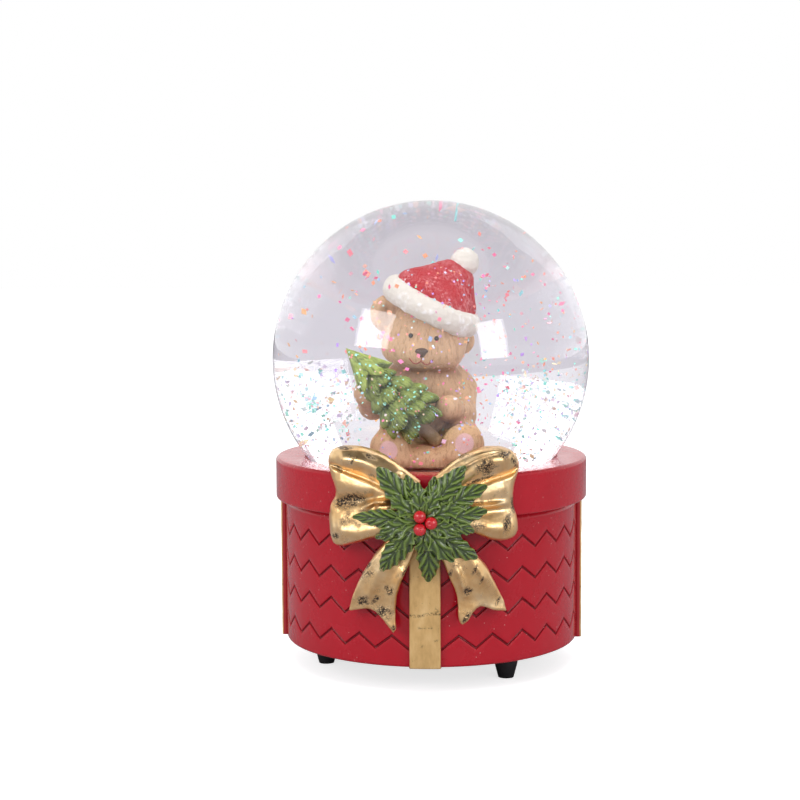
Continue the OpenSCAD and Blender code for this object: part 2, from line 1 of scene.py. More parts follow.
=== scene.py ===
import math
import bpy
import numpy as np
import openvdb
from mathutils import Euler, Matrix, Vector


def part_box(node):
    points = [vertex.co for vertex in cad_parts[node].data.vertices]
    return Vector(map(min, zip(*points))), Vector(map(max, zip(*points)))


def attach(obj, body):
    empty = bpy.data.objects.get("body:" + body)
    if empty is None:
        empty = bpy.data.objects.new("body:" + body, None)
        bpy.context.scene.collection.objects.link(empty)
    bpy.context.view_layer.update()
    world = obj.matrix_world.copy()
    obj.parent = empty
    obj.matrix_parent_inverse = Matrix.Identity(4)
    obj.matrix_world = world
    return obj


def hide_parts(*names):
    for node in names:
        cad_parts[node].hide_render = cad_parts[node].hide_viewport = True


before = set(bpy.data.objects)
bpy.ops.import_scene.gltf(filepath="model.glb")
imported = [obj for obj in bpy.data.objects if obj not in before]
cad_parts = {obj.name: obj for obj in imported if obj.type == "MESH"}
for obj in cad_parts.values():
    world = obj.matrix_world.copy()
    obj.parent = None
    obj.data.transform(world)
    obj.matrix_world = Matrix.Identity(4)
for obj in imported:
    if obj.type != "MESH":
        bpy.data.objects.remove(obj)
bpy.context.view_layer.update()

# --- The frame: every place below comes from these -------------------------
# Lengths in this script are millimetres about the globe's own axis, with
# heights above the surface the feet stand on, until mesh_object() turns them
# into the frame's metres.

MM = 0.001


def node_box(node):
    """A CAD node's lowest and highest corner, in millimetres about the globe's axis."""
    low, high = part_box(node)
    move = np.array([*AXIS, 0])
    return (np.array(low) - move) / MM, (np.array(high) - move) / MM


def node_middle(node):
    """The middle of a CAD node's box."""
    low, high = node_box(node)
    return (low + high) / 2


_low, _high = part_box("glass_globe")
AXIS = ((_low[0] + _high[0]) / 2, (_low[1] + _high[1]) / 2)
BALL_R = (_high[0] - _low[0]) / 2 / MM
BALL_Z = _high[2] / MM - BALL_R
NECK_Z = _low[2] / MM
GLASS_T = BALL_R - (node_box("water_fill")[1][2] - BALL_Z)
PLUG_TOP = node_box("rubber_stopper")[1][2]
FOOT_Z = node_box("figure_pedestal")[1][2]
PLUG_R = node_box("rubber_stopper")[1][0]
PEDESTAL_R = node_box("figure_pedestal")[1][0]
LID_Z, LID_TOP = node_box("box_lid")[0][2], node_box("box_lid")[1][2]
LID_R = node_box("box_lid")[1][0]
RIM_Z = node_box("box_body")[0][2]
BODY_R = node_box("box_body")[1][0]
COVER_Z = node_box("bottom_cover")[0][2]
BORE_R = node_box("bottom_cover")[1][0]
BAND_R = node_box("ribbon_right")[1][0]
BAND_W = node_box("ribbon_front")[1][0] - node_box("ribbon_front")[0][0]
BOW_X, _, BOW_Z = node_middle("bow_knot")
BERRY_FRONT = -node_box("holly_berries")[0][1]
_front = node_middle("ribbon_front")
RIBBON_TURN = math.atan2(_front[0], -_front[1])


# --- Meshes ----------------------------------------------------------------

def mesh_object(name, points, faces, material=None, smooth=True, **layers):
    """A mesh piece from points in millimetres; layers are numbers stored per point."""
    points = np.asarray(points, float).reshape(-1, 3)
    mesh = bpy.data.meshes.new(name)
    mesh.from_pydata((points * MM + np.array([*AXIS, 0])).tolist(), [], [list(map(int, f)) for f in faces])
    mesh.validate()
    for key, values in layers.items():
        layer = mesh.attributes.new(key, "FLOAT", "POINT")
        layer.data.foreach_set("value", np.asarray(values, np.float32).ravel())
    mesh.polygons.foreach_set("use_smooth", [smooth] * len(mesh.polygons))
    piece = bpy.data.objects.new(name, mesh)
    bpy.context.collection.objects.link(piece)
    if material:
        mesh.materials.append(material)
    return piece


def on_base(piece, slot, *nodes):
    """The piece rides on the globe's fixed body, in place of the named CAD nodes."""
    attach(piece, "base")
    if nodes:
        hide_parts(*nodes)
    return piece


def grid_faces(rows, columns, closed=False, start=0):
    """Faces of a grid of points stored row by row; closed joins the last column to the first."""
    across = columns if closed else columns - 1
    r, c = np.meshgrid(np.arange(rows - 1), np.arange(across), indexing="ij")
    c2 = (c + 1) % columns
    quads = np.stack([r * columns + c, r * columns + c2, (r + 1) * columns + c2, (r + 1) * columns + c], -1)
    return (quads.reshape(-1, 4) + start).tolist()


def turned(profile, steps=192):
    """Points and faces of a profile of (radius, height) turned about the axis; radius 0 closes an end."""
    angles = np.linspace(0, 2 * np.pi, steps, endpoint=False)
    points, rings = [], []
    for radius, height in profile:
        if radius < 1e-6:
            rings.append([len(points)])
            points.append([0, 0, height])
        else:
            rings.append(list(range(len(points), len(points) + steps)))
            points += [[radius * math.cos(a), radius * math.sin(a), height] for a in angles]
    faces = []
    for low, high in zip(rings, rings[1:]):
        for i in range(steps):
            j = (i + 1) % steps
            if len(low) == 1:
                faces.append([low[0], high[j], high[i]])
            elif len(high) == 1:
                faces.append([low[i], low[j], high[0]])
            else:
                faces.append([low[i], low[j], high[j], high[i]])
    return points, faces


def arc(radius, height, curve, start, end, steps=8):
    """Points of a rounded corner in a turned profile, from one angle to another in degrees."""
    return [(radius + curve * math.cos(math.radians(a)), height + curve * math.sin(math.radians(a)))
            for a in np.linspace(start, end, steps)]


def smooth_step(low, high, x):
    """0 up to low, 1 from high on, and a smooth rise between; low may be above high."""
    t = np.clip((x - low) / (high - low), 0, 1)
    return t * t * (3 - 2 * t)


# --- Materials -------------------------------------------------------------

class Paint:
    """A node material. Its methods add nodes and return their output sockets."""

    def __init__(self, name, **values):
        self.material = bpy.data.materials.new(name)
        self.material.use_nodes = True
        self.tree = self.material.node_tree
        self.tree.nodes.clear()
        self.out = self.tree.nodes.new("ShaderNodeOutputMaterial")
        self.shader = self.tree.nodes.new("ShaderNodeBsdfPrincipled")
        self.tree.links.new(self.shader.outputs[0], self.out.inputs[0])
        self.set(**values)

    def set(self, **values):
        """Sets the shader's sockets, each to a value or to another node's output."""
        for key, value in values.items():
            self.put(self.shader.inputs[key.replace("_", " ")], value)

    def put(self, socket, value):
        if isinstance(value, bpy.types.NodeSocket):
            self.tree.links.new(value, socket)
        elif isinstance(value, (tuple, list)) and len(value) == 3 and len(socket.default_value) == 4:
            socket.default_value = (*value, 1)
        else:
            socket.default_value = value

    def node(self, kind, output=0, settings=None, **inputs):
        """Adds a node. An input is named by its label, or by its place as in _0."""
        made = self.tree.nodes.new("ShaderNode" + kind)
        for key, value in (settings or {}).items():
            setattr(made, key, value)
        for key, value in inputs.items():
            self.put(made.inputs[int(key[1:]) if key[0] == "_" else key.replace("_", " ")], value)
        return made.outputs[output]

    def place(self):
        """Where a point is in its piece, in metres."""
        return self.node("TexCoord", "Object")

    def noise(self, scale, detail=3, roughness=0.5, stretch=None, at=None):
        at = at or self.place()
        if stretch:
            at = self.node("Mapping", Vector=at, Scale=stretch)
        return self.node("TexNoise", "Fac", Vector=at, Scale=scale, Detail=detail, Roughness=roughness)

    def cells(self, scale):
        return self.node("TexVoronoi", "Distance", {"feature": "F1"}, Vector=self.place(), Scale=scale)

    def ramp(self, value, *stops):
        """Numbers through (place, number or colour) stops."""
        made = self.tree.nodes.new("ShaderNodeValToRGB")
        self.put(made.inputs[0], value)
        band = made.color_ramp.elements
        while len(band) < len(stops):
            band.new(1)
        for element, (at, colour) in zip(band, stops):
            element.position = at
            element.color = (*colour, 1) if isinstance(colour, tuple) else (colour, colour, colour, 1)
        return made.outputs[0]

    def mix(self, factor, a, b):
        made = self.tree.nodes.new("ShaderNodeMix")
        made.data_type = "RGBA"
        self.put(made.inputs[0], factor)
        self.put(made.inputs[6], a)
        self.put(made.inputs[7], b)
        return made.outputs[2]

    def math(self, operation, a, b=0.0, clamp=False):
        return self.node("Math", 0, {"operation": operation, "use_clamp": clamp}, _0=a, _1=b)

    def layer(self, name):
        return self.node("Attribute", "Fac", {"attribute_name": name})

    def bump(self, height, distance, strength=1.0, normal=None):
        made = self.tree.nodes.new("ShaderNodeBump")
        self.put(made.inputs["Height"], height)
        made.inputs["Distance"].default_value = distance * MM
        made.inputs["Strength"].default_value = strength
        if normal:
            self.put(made.inputs["Normal"], normal)
        self.set(Normal=made.outputs[0])
        return made.outputs[0]


def clear_material(name, ior, tint=(1, 1, 1)):
    """Glass or water: it bends sight, and lets light through to what is inside."""
    paint = Paint(name)
    glass = paint.node("BsdfGlass", 0, None, Color=tint, Roughness=0.0, IOR=ior)
    through = paint.node("BsdfTransparent", 0, None, Color=tint)
    rays = paint.tree.nodes.new("ShaderNodeLightPath")
    lit = paint.math("MAXIMUM", rays.outputs["Is Shadow Ray"], rays.outputs["Is Diffuse Ray"])
    shader = paint.node("MixShader", 0, None, _0=lit, _1=glass, _2=through)
    paint.tree.links.new(shader, paint.out.inputs[0])
    paint.tree.nodes.remove(paint.shader)
    return paint.material


def lacquer():
    """Deep red gloss with faint orange peel, tiny pale specks, small scuffs, and painted shade in the grooves
    and on the lid's top edge.
    """
    paint = Paint("red_lacquer", Coat_Weight=0.45, Coat_Roughness=0.07, Specular_IOR_Level=0.2)
    cloud = paint.noise(35, 4, 0.6)
    base = paint.mix(cloud, (0.37, 0.006, 0.014), (0.45, 0.010, 0.021))
    # Painted shade: the lacquer turns dark red where the zigzag grooves are deep and along the lid's top
    # edge.
    groove = paint.layer("groove")
    base = paint.mix(paint.math("MULTIPLY", groove, 0.72), base, (0.10, 0.002, 0.006))
    speck = paint.ramp(paint.cells(560), (0.0, 1.0), (0.10, 0.0))
    few = paint.ramp(paint.noise(180, 2), (0.50, 0.0), (0.55, 1.0))
    base = paint.mix(paint.math("MULTIPLY", speck, few), base, (0.85, 0.62, 0.55))
    paint.set(Base_Color=base, Roughness=paint.ramp(paint.noise(90, 5, 0.7), (0.3, 0.16), (0.75, 0.36)))
    peel = paint.noise(260, 3, 0.55)
    dents = paint.noise(60, 2, 0.4)
    paint.bump(peel, 0.05, 0.35, paint.bump(dents, 0.35, 0.30))
    return paint.material


def gold_leaf():
    """Burnished gold with black-brown crackle where the leaf has broken up."""
    paint = Paint("gold_leaf", Metallic=1.0)
    cloud = paint.noise(120, 5, 0.65)
    tone = paint.ramp(cloud, (0.25, (0.80, 0.46, 0.18)), (0.5, (0.97, 0.66, 0.33)),
                      (0.75, (1.0, 0.79, 0.50)))
    patches = paint.ramp(paint.noise(130, 3, 0.5), (0.58, 0.0), (0.67, 1.0))
    grains = paint.ramp(paint.noise(2100, 4, 0.7), (0.41, 0.0), (0.49, 1.0))
    fine = paint.ramp(paint.noise(900, 3, 0.8), (0.66, 0.0), (0.70, 1.0))
    dark = paint.math("MAXIMUM", paint.math("MULTIPLY", patches, grains), paint.math("MULTIPLY", fine, 0.55))
    worn = paint.layer("worn")
    dark = paint.math("MAXIMUM", dark, paint.math("MULTIPLY", worn, grains), True)
    paint.set(
        Base_Color=paint.mix(dark, tone, (0.018, 0.009, 0.004)),
        Metallic=paint.ramp(dark, (0.0, 1.0), (0.8, 0.2)),
        Roughness=paint.ramp(paint.noise(260, 4, 0.6), (0.3, 0.24), (0.7, 0.46)))
    paint.bump(paint.math("SUBTRACT", paint.noise(420, 4, 0.6), dark), 0.06, 0.35)
    return paint.material


def plain_paint(name, low, high, scale=150, bump=0.05, roughness=(0.4, 0.65), edge=None, coat=0.0, grain=900):
    """Brushed model paint between two tones, with a fine grain; edge is a painted highlight that lightens the
    high relief.
    """
    paint = Paint(name, Coat_Weight=coat, Coat_Roughness=0.12)
    tone = paint.mix(paint.noise(scale, 5, 0.65), low, high)
    # Painted highlight: the high relief is mixed towards the edge colour.
    if edge:
        tone = paint.mix(paint.layer("relief"), tone, edge)
    strokes = paint.noise(grain, 4, 0.65)
    paint.set(Base_Color=tone, Roughness=paint.ramp(strokes, (0.3, roughness[0]), (0.7, roughness[1])))
    paint.bump(strokes, bump, 0.6)
    return paint.material


def metal(name, colour, roughness, scale=500, stretch=(1, 1, 12)):
    """Machined or cast metal with fine lines and slight tarnish."""
    paint = Paint(name, Metallic=1.0)
    lines = paint.noise(scale, 4, 0.6, stretch)
    dull = tuple(c * 0.72 for c in colour)
    paint.set(Base_Color=paint.mix(paint.noise(60, 4, 0.6), dull, colour),
              Roughness=paint.ramp(lines, (0.3, roughness * 0.7), (0.7, roughness * 1.4)))
    paint.bump(lines, 0.02, 0.4)
    return paint.material


# --- Camera, light and floor -----------------------------------------------

CAMERA_AWAY, CAMERA_HEIGHT = 568.6, 141.2         # from the globe's axis and above the floor
CAMERA_DOWN, CAMERA_TURN, CAMERA_ROLL = 5.824, 0.984, -0.3    # degrees
LENS, SENSOR = 80.9, 36.0
FLOOR_REACH = 3000
RAMP_KEYS = ("From Min", "From Max", "To Min", "To Max")


def camera():
    """The camera stands in front of the bow, a little above the middle of the ball, and looks down."""
    lens = bpy.data.cameras.new("camera")
    lens.lens = LENS
    lens.sensor_width = SENSOR
    lens.clip_start, lens.clip_end = 0.01, 50
    eye = bpy.data.objects.new("camera", lens)
    bpy.context.collection.objects.link(eye)
    eye.location = (AXIS[0], AXIS[1] - CAMERA_AWAY * MM, CAMERA_HEIGHT * MM)
    aim = Euler((math.pi / 2 - math.radians(CAMERA_DOWN), 0, math.radians(CAMERA_TURN))).to_matrix()
    eye.rotation_euler = (aim @ Euler((0, 0, math.radians(CAMERA_ROLL))).to_matrix()).to_euler()
    bpy.context.scene.camera = eye


def softbox(name, direction, lift, away, size, power):
    """A rectangular lamp that faces the ball; direction is degrees from the front towards the right."""
    light = bpy.data.lights.new(name, "AREA")
    light.shape = "RECTANGLE"
    light.size, light.size_y = size
    light.energy = power
    lamp = bpy.data.objects.new(name, light)
    bpy.context.collection.objects.link(lamp)
    a, b = math.radians(direction), math.radians(lift)
    towards = np.array([math.sin(a) * math.cos(b), -math.cos(a) * math.cos(b), math.sin(b)])
    middle = np.array([*AXIS, BALL_Z * MM])
    lamp.location = middle + towards * away
    lamp.rotation_euler = (math.pi / 2 - b, 0, a)
    return lamp


def lamps():
    """Two softboxes in front that show in gloss, and a top lamp and two back panels that don't."""
    softbox("key_left", -43, 23, 1.0, (0.43, 0.43), 2.5)
    softbox("key_right", 46, 15.5, 1.0, (0.36, 0.43), 1.9)
    top = softbox("top", 0, 78, 1.1, (0.8, 0.8), 5.5)
    top.visible_glossy = False
    top.visible_transmission = False
    for name, direction in (("back_left", -152), ("back_right", 151)):
        panel = softbox(name, direction, 23, 1.2, (0.46, 0.68), 1.6)
        panel.visible_glossy = False


def room():
    """A bright white room, whose gloss is dimmer towards the camera and dark overhead."""
    world = bpy.data.worlds.new("studio")
    bpy.context.scene.world = world
    world.use_nodes = True
    nodes, links = world.node_tree.nodes, world.node_tree.links
    nodes.clear()
    rays = nodes.new("ShaderNodeLightPath")
    way = nodes.new("ShaderNodeSeparateXYZ")
    links.new(nodes.new("ShaderNodeTexCoord").outputs["Generated"], way.inputs[0])
    gloss = nodes.new("ShaderNodeMath")
    gloss.operation = "MULTIPLY"
    for place, (axis, stops) in enumerate((("Y", (-0.1, 0.6, 0.78, 1.0)), ("Z", (0.45, 0.85, 1.0, 0.12)))):
        dimmer = nodes.new("ShaderNodeMapRange")
        dimmer.interpolation_type = "SMOOTHSTEP"
        links.new(way.outputs[axis], dimmer.inputs["Value"])
        for key, value in zip(RAMP_KEYS, stops):
            dimmer.inputs[key].default_value = value
        links.new(dimmer.outputs[0], gloss.inputs[place])
    shader = None
    for ray, colour, strength in ((None, (0.97, 0.96, 1.0), 0.80), ("Is Glossy Ray", (1, 1, 1), None),
                                  ("Is Transmission Ray", (0.98, 0.96, 1.0), 0.98),
                                  ("Is Camera Ray", (1, 1, 1), 1.0)):
        light = nodes.new("ShaderNodeBackground")
        light.inputs[0].default_value = (*colour, 1)
        if strength is None:
            links.new(gloss.outputs[0], light.inputs[1])
        else:
            light.inputs[1].default_value = strength
        if ray:
            mixed = nodes.new("ShaderNodeMixShader")
            links.new(rays.outputs[ray], mixed.inputs[0])
            links.new(shader, mixed.inputs[1])
            links.new(light.outputs[0], mixed.inputs[2])
            light = mixed
        shader = light.outputs[0]
    out = nodes.new("ShaderNodeOutputWorld")
    links.new(shader, out.inputs[0])


def pale_floor():
    """A pale floor: brighter to the camera, darker in gloss, clear from below."""
    paint = Paint("floor_paper")
    rays = paint.tree.nodes.new("ShaderNodeLightPath")
    shader = paint.node("BsdfDiffuse", 0, None, Color=(0.64, 0.61, 0.66))
    through = paint.node("Emission", 0, None, Color=(0.70, 0.665, 0.725), Strength=1.0)
    seen = paint.node("AddShader", 0, None, _0=paint.node("BsdfDiffuse", 0, None, Color=(0.60, 0.60, 0.60)),
                      _1=paint.node("Emission", 0, None, Color=(1, 1, 1), Strength=0.72))
    gloss = paint.node("BsdfDiffuse", 0, None, Color=(0.30, 0.29, 0.30))
    for ray, other in (("Is Glossy Ray", gloss), ("Is Transmission Ray", through), ("Is Camera Ray", seen)):
        shader = paint.node("MixShader", 0, None, _0=rays.outputs[ray], _1=shader, _2=other)
    side = paint.tree.nodes.new("ShaderNodeNewGeometry").outputs["Backfacing"]
    clear = paint.node("BsdfTransparent", 0, None)
    shader = paint.node("MixShader", 0, None, _0=side, _1=shader, _2=clear)
    paint.tree.links.new(shader, paint.out.inputs[0])
    paint.tree.nodes.remove(paint.shader)
    corners = [[x * FLOOR_REACH, y * FLOOR_REACH, 0] for x, y in ((-1, -1), (1, -1), (1, 1), (-1, 1))]
    floor = mesh_object("floor", corners, [[0, 1, 2, 3]], paint.material)


def studio():
    """The room, its lamps, the floor and how light travels."""
    room()
    lamps()
    pale_floor()
    scene = bpy.context.scene
    scene.view_settings.view_transform = "Standard"
    for key, value in (("max_bounces", 20), ("transmission_bounces", 16), ("transparent_max_bounces", 24),
                       ("glossy_bounces", 8), ("caustics_refractive", False), ("caustics_reflective", False),
                       ("sample_clamp_indirect", 4.0)):
        setattr(scene.cycles, key, value)


# --- The glass ball --------------------------------------------------------

GLASS_IOR, WATER_IOR = 1.5, 1.333
WATER_OVERLAP = 0.08       # how far the water reaches into the glass, so that no air shows between


def ball_profile(radius, foot):
    """A ball's outline from its foot height up to its top."""
    start = math.degrees(math.asin((foot - BALL_Z) / radius))
    outline = arc(0, BALL_Z, radius, start, 90, 96)
    return outline[:-1] + [(0, BALL_Z + radius)]


def glass_ball():
    """The blown shell, from its inside round the lip of its neck to its outside, and the water."""
    neck_in = PLUG_R - GLASS_T
    inner_r = BALL_R - GLASS_T
    outside = ball_profile(BALL_R, BALL_Z - math.sqrt(BALL_R ** 2 - (PLUG_R + 0.6) ** 2))
    inside = ball_profile(inner_r, BALL_Z - math.sqrt(inner_r ** 2 - (neck_in + 0.4) ** 2))
    lip = arc((PLUG_R + neck_in) / 2, NECK_Z + 1, (PLUG_R - neck_in) / 2, -180, 0, 10)
    points, faces = turned(inside[::-1] + lip + outside, 256)
    glass = clear_material("ball_glass", GLASS_IOR, (0.985, 0.985, 0.99))
    shell = mesh_object("ball_glass", points, faces, glass)
    on_base(shell, "glass", "glass_globe")
    outline = [(0, PLUG_TOP + 0.05)] + ball_profile(inner_r + WATER_OVERLAP, PLUG_TOP + 0.05)
    points, faces = turned(outline, 256)
    water = mesh_object("ball_water", points, faces, clear_material("ball_water", WATER_IOR))
    on_base(water, "liquid", "water_fill")


# --- Sculpted solids ---------------------------------------------------------

def value_noise(points, size, seed):
    """Smooth noise from -1 to 1 that varies over about size millimetres."""
    table = np.random.RandomState(seed).uniform(-1, 1, (16, 16, 16)).astype(np.float32)
    at = np.asarray(points, np.float32) / size
    cell = np.floor(at).astype(int)
    part = at - cell
    part = part * part * (3 - 2 * part)
    total = 0
    for corner in np.ndindex(2, 2, 2):
        weight = np.prod(np.where(corner, part, 1 - part), -1)
        i = (cell + corner) % 16
        total = total + weight * table[i[..., 0], i[..., 1], i[..., 2]]
    return total


def turn_matrix(x=0, y=0, z=0):
    """A rotation by degrees about X, then Y, then Z."""
    return np.array(Euler([math.radians(a) for a in (x, y, z)]).to_matrix(), np.float32)


def egg(centre, radii, turn=None):
    """The distance field of an ellipsoid, as a function of points."""
    radii = np.array(radii, np.float32) * np.ones(3, np.float32)

    def field(points):
        local = points - np.array(centre, np.float32)
        if turn is not None:
            local = local @ turn
        far = np.linalg.norm(local / radii, axis=-1)
        return far * (far - 1) / np.maximum(np.linalg.norm(local / radii ** 2, axis=-1), 1e-6)
    return field


def limb(start, end, start_r, end_r):
    """The distance field of a bar with round ends of two radii."""
    start, run = np.array(start, np.float32), np.subtract(end, start).astype(np.float32)

    def field(points):
        local = points - start
        share = np.clip(local @ run / (run @ run), 0, 1)
        return np.linalg.norm(local - share[..., None] * run, axis=-1) - (start_r + (end_r - start_r) * share)
    return field


def ring(centre, radius, tube, turn, tall=1.0):
    """The distance field of a ring, its tube made taller than it is wide by a factor."""
    def field(points):
        local = (points - np.array(centre, np.float32)) @ turn
        out = np.linalg.norm(local[..., :2], axis=-1) - radius
        return np.hypot(out, local[..., 2] / tall) - tube
    return field


def blended(a, b, blend):
    """The smaller of two fields, rounded where they meet."""
    if not blend:
        return np.minimum(a, b)
    h = np.clip(0.5 + 0.5 * (b - a) / blend, 0, 1)
    return b + (a - b) * h - blend * h * (1 - h)


class Clay:
    """A solid built up on a grid of points from distance fields."""

    def __init__(self, low, high, pitch):
        self.low, self.pitch = np.array(low, float), pitch
        axes = [np.arange(a, b, pitch, dtype=np.float32) for a, b in zip(low, high)]
        self.points = np.stack(np.meshgrid(*axes, indexing="ij"), -1)
        self.field = np.full(self.points.shape[:3], 50.0, np.float32)

    def window(self, centre, reach):
        """The slices of the grid within reach of a point."""
        first = np.maximum((np.subtract(centre, reach) - self.low) / self.pitch, 0).astype(int)
        last = np.maximum((np.add(centre, reach) - self.low) / self.pitch + 1, 1).astype(int)
        return tuple(slice(a, b) for a, b in zip(first, last))

    def add(self, shape, blend=0.0, near=None):
        """Joins a shape on; near is (centre, reach) where it is small."""
        where = self.window(*near) if near else slice(None)
        self.field[where] = blended(self.field[where], shape(self.points[where]), blend)

    def cut(self, shape, blend=0.0):
        """Cuts a shape away."""
        self.field[...] = -blended(-self.field, shape(self.points), blend)

    def front(self, x, z):
        """The y of the solid's front at a place seen from the front."""
        i, k = int(round((x - self.low[0]) / self.pitch)), int(round((z - self.low[2]) / self.pitch))
        line = self.field[i, :, k]
        j = int(np.argmax(line < 0))
        share = line[j - 1] / (line[j - 1] - line[j])
        return self.low[1] + (j - 1 + share) * self.pitch

    def cells_near(self, points, margin=0):
        """The grid cell nearest to each point, kept margin cells inside the grid."""
        index = np.round((points - self.low) / self.pitch).astype(int)
        return np.clip(index, margin, np.array(self.field.shape) - 1 - margin)

    def surface(self):
        """Points, in millimetres, and faces."""
        grid = openvdb.FloatGrid()
        grid.copyFromArray(self.field)
        points, triangles, quads = grid.convertToPolygons(isovalue=0.0, adaptivity=0.0)
        return points.astype(float) * self.pitch + self.low, triangles.tolist() + quads.tolist()

    def skin(self):
        """Points and faces, as surface() gives them, and the normal at each point."""
        points, faces = self.surface()
        mesh = bpy.data.meshes.new("normals")
        mesh.from_pydata(points.tolist(), [], faces)
        normals = vertex_values(mesh, "normal").reshape(-1, 3)
        bpy.data.meshes.remove(mesh)
        return points, faces, normals


def vertex_values(mesh, key):
    """One of a mesh's three-number properties at every vertex, in a flat row."""
    out = np.zeros(len(mesh.vertices) * 3, np.float32)
    mesh.vertices.foreach_get(key, out)
    return out


# --- The figure --------------------------------------------------------------

HEAD = np.array([-0.8, -2.3, FOOT_Z + 33.6])
BRIM = np.array([0.1, -2.6, FOOT_Z + 40.7])
HEAD_TURN = turn_matrix(y=7, z=-6)
BRIM_TURN = turn_matrix(y=27)
TREE_TIP = np.array([-21.7, -16.5, FOOT_Z + 31.6])
TREE_FOOT = np.array([0.2, -18.0, FOOT_Z + 9.0])
PADS = [((-11.3, -22.0, FOOT_Z + 4.9), 2.6), ((8.9, -22.2, FOOT_Z + 6.9), 2.7)]


def above_foot(x, y, z):
    """A point given by its height above the figure's seat."""
    return np.array([x, y, FOOT_Z + z])


def on_head(x, y, z):
    """A point given about the middle of the head, in the head's own directions."""
    return HEAD + HEAD_TURN @ np.array([x, y, z])


def bear_clay():
    """The bear, seated, without its eyes, nose and mouth."""
    clay = Clay((-22, -27, FOOT_Z - 1), (19, 14, FOOT_Z + 46), 0.3)
    clay.add(egg(above_foot(-0.8, 1.5, 11), (11.2, 10.6, 12.2)))
    clay.add(egg(above_foot(-0.6, 0.5, 20.5), (9.8, 8.8, 8.6)), 3)
    clay.add(egg(HEAD, (9.9, 9.2, 8.7), HEAD_TURN), 1.4)
    clay.add(egg(on_head(-1.2, -6.6, -4.2), (5.0, 4.2, 3.9)), 2.6)
    for x in (-6.2, 5.2):
        clay.add(egg(on_head(x, -3.4, -3.4), (4.2, 4.6, 4.2)), 2.4)
    for ear, size in ((above_foot(-10.0, 1.0, 38.4), 4.3), (above_foot(7.4, 0.6, 32.2), 3.1)):
        clay.add(egg(ear, (size, size * 0.6, size * 1.1), turn_matrix(y=-15)), 1.2)
        clay.cut(egg(ear + [-0.4, -size * 0.72, 0], (size * 0.6, size * 0.4, size * 0.7)), 0.8)
    for shoulder, elbow, paw, size in (
            (above_foot(-8.2, 0.2, 22.5), above_foot(-14.0, -4.5, 17.0), above_foot(-15.8, -12.2, 19.9), 3.5),
            (above_foot(7.2, 0.2, 20.6), above_foot(7.4, -7.0, 14.5), above_foot(4.6, -15.2, 16.2), 3.3)):
        clay.add(limb(shoulder, elbow, 3.8, 3.5), 1.6)
        clay.add(limb(elbow, paw, 3.4, 3.0), 1.4)
        clay.add(egg(paw, (size, size * 1.05, size * 1.05)), 1.2)
    for hip, knee, foot in (
            (above_foot(-6.0, -2, 5.6), above_foot(-8.6, -11, 6.6), above_foot(-10.6, -17.0, 5.2)),
            (above_foot(5.6, -2, 5.6), above_foot(7.2, -11, 7.2), above_foot(8.4, -17.2, 6.4))):
        clay.add(limb(hip, knee, 6.0, 5.8), 2.0)
        clay.add(limb(knee, foot, 5.7, 5.2), 1.2)
        clay.add(egg(foot + [0, -1.6, 0.3], (5.4, 3.4, 5.6)), 1.0)
        clay.add(egg(foot + [0.4 * np.sign(-foot[0]) * 4, -0.5, -3.4], (6.4, 5.4, 4.2)), 1.6)
    clay.add(egg(above_foot(-0.8, -12.0, 1.5), (10.0, 10.5, 6.4)), 1.4)
    clay.field = np.maximum(clay.field, FOOT_Z + 0.02 - clay.points[..., 2])
    return clay


def bear(clay):
    """The bear's body with a combed coat, painted shade darkening the neck crease and the hollows, and pink
    pads.
    """
    points, faces, normals = clay.skin()
    comb = value_noise(points * [1, 1, 0.35], 0.55, 5) * 0.5 + value_noise(points * [1, 1, 0.5], 1.4, 6) * 0.5
    soft = value_noise(points, 4.5, 7)
    on_seat = points[:, 2] < FOOT_Z + 0.4
    points = points + normals * np.where(on_seat, 0, 0.13 * comb + 0.14 * soft)[:, None]
    pad = np.zeros(len(points))
    for centre, size in PADS:
        away = (points - centre) / [size, 4.0, size * 1.15]
        pad = np.maximum(pad, 1 - smooth_step(0.85, 1.0, np.linalg.norm(away, axis=1)))
    # Painted shade: a dark band across the front of the neck, and the hollows between the body's parts.
    neck = np.abs(points[:, 2] - (FOOT_Z + 25.2)) / 2.4
    crease = np.clip(1 - neck, 0, 1) * (points[:, 1] < -3) * (np.abs(points[:, 0] + 1.5) < 9)
    crease = np.maximum(crease, closeness(clay, points))
    body = mesh_object("bear_body", points, faces, bear_paint(), pad=pad, crease=crease)
    return on_base(body, "bear_paint", "bear_figure")


def closeness(clay, points):
    """How deep in a hollow each point of a solid lies, from 0 to 1."""
    out = points + steepest(clay, points) * 2.2
    return np.clip(1 - clay.field[tuple(clay.cells_near(out).T)] / 2.0, 0, 1)


def steepest(clay, points):
    """The direction in which a solid's field grows fastest, at each point."""
    index = clay.cells_near(points, 1)
    grow = []
    for step in np.eye(3, dtype=int):
        grow.append(clay.field[tuple((index + step).T)] - clay.field[tuple((index - step).T)])
    grow = np.stack(grow, 1)
    return grow / np.maximum(np.linalg.norm(grow, axis=1, keepdims=True), 1e-6)


def small_part(name, shapes, box, pitch, slot, paint, blend=0.15, nodes=()):
    """A piece of a few shapes joined together, made within a box's low and high corners."""
    clay = Clay(*box, pitch)
    for shape in shapes:
        clay.add(shape, blend)
    return on_base(mesh_object(name, *clay.surface(), paint), slot, *nodes)


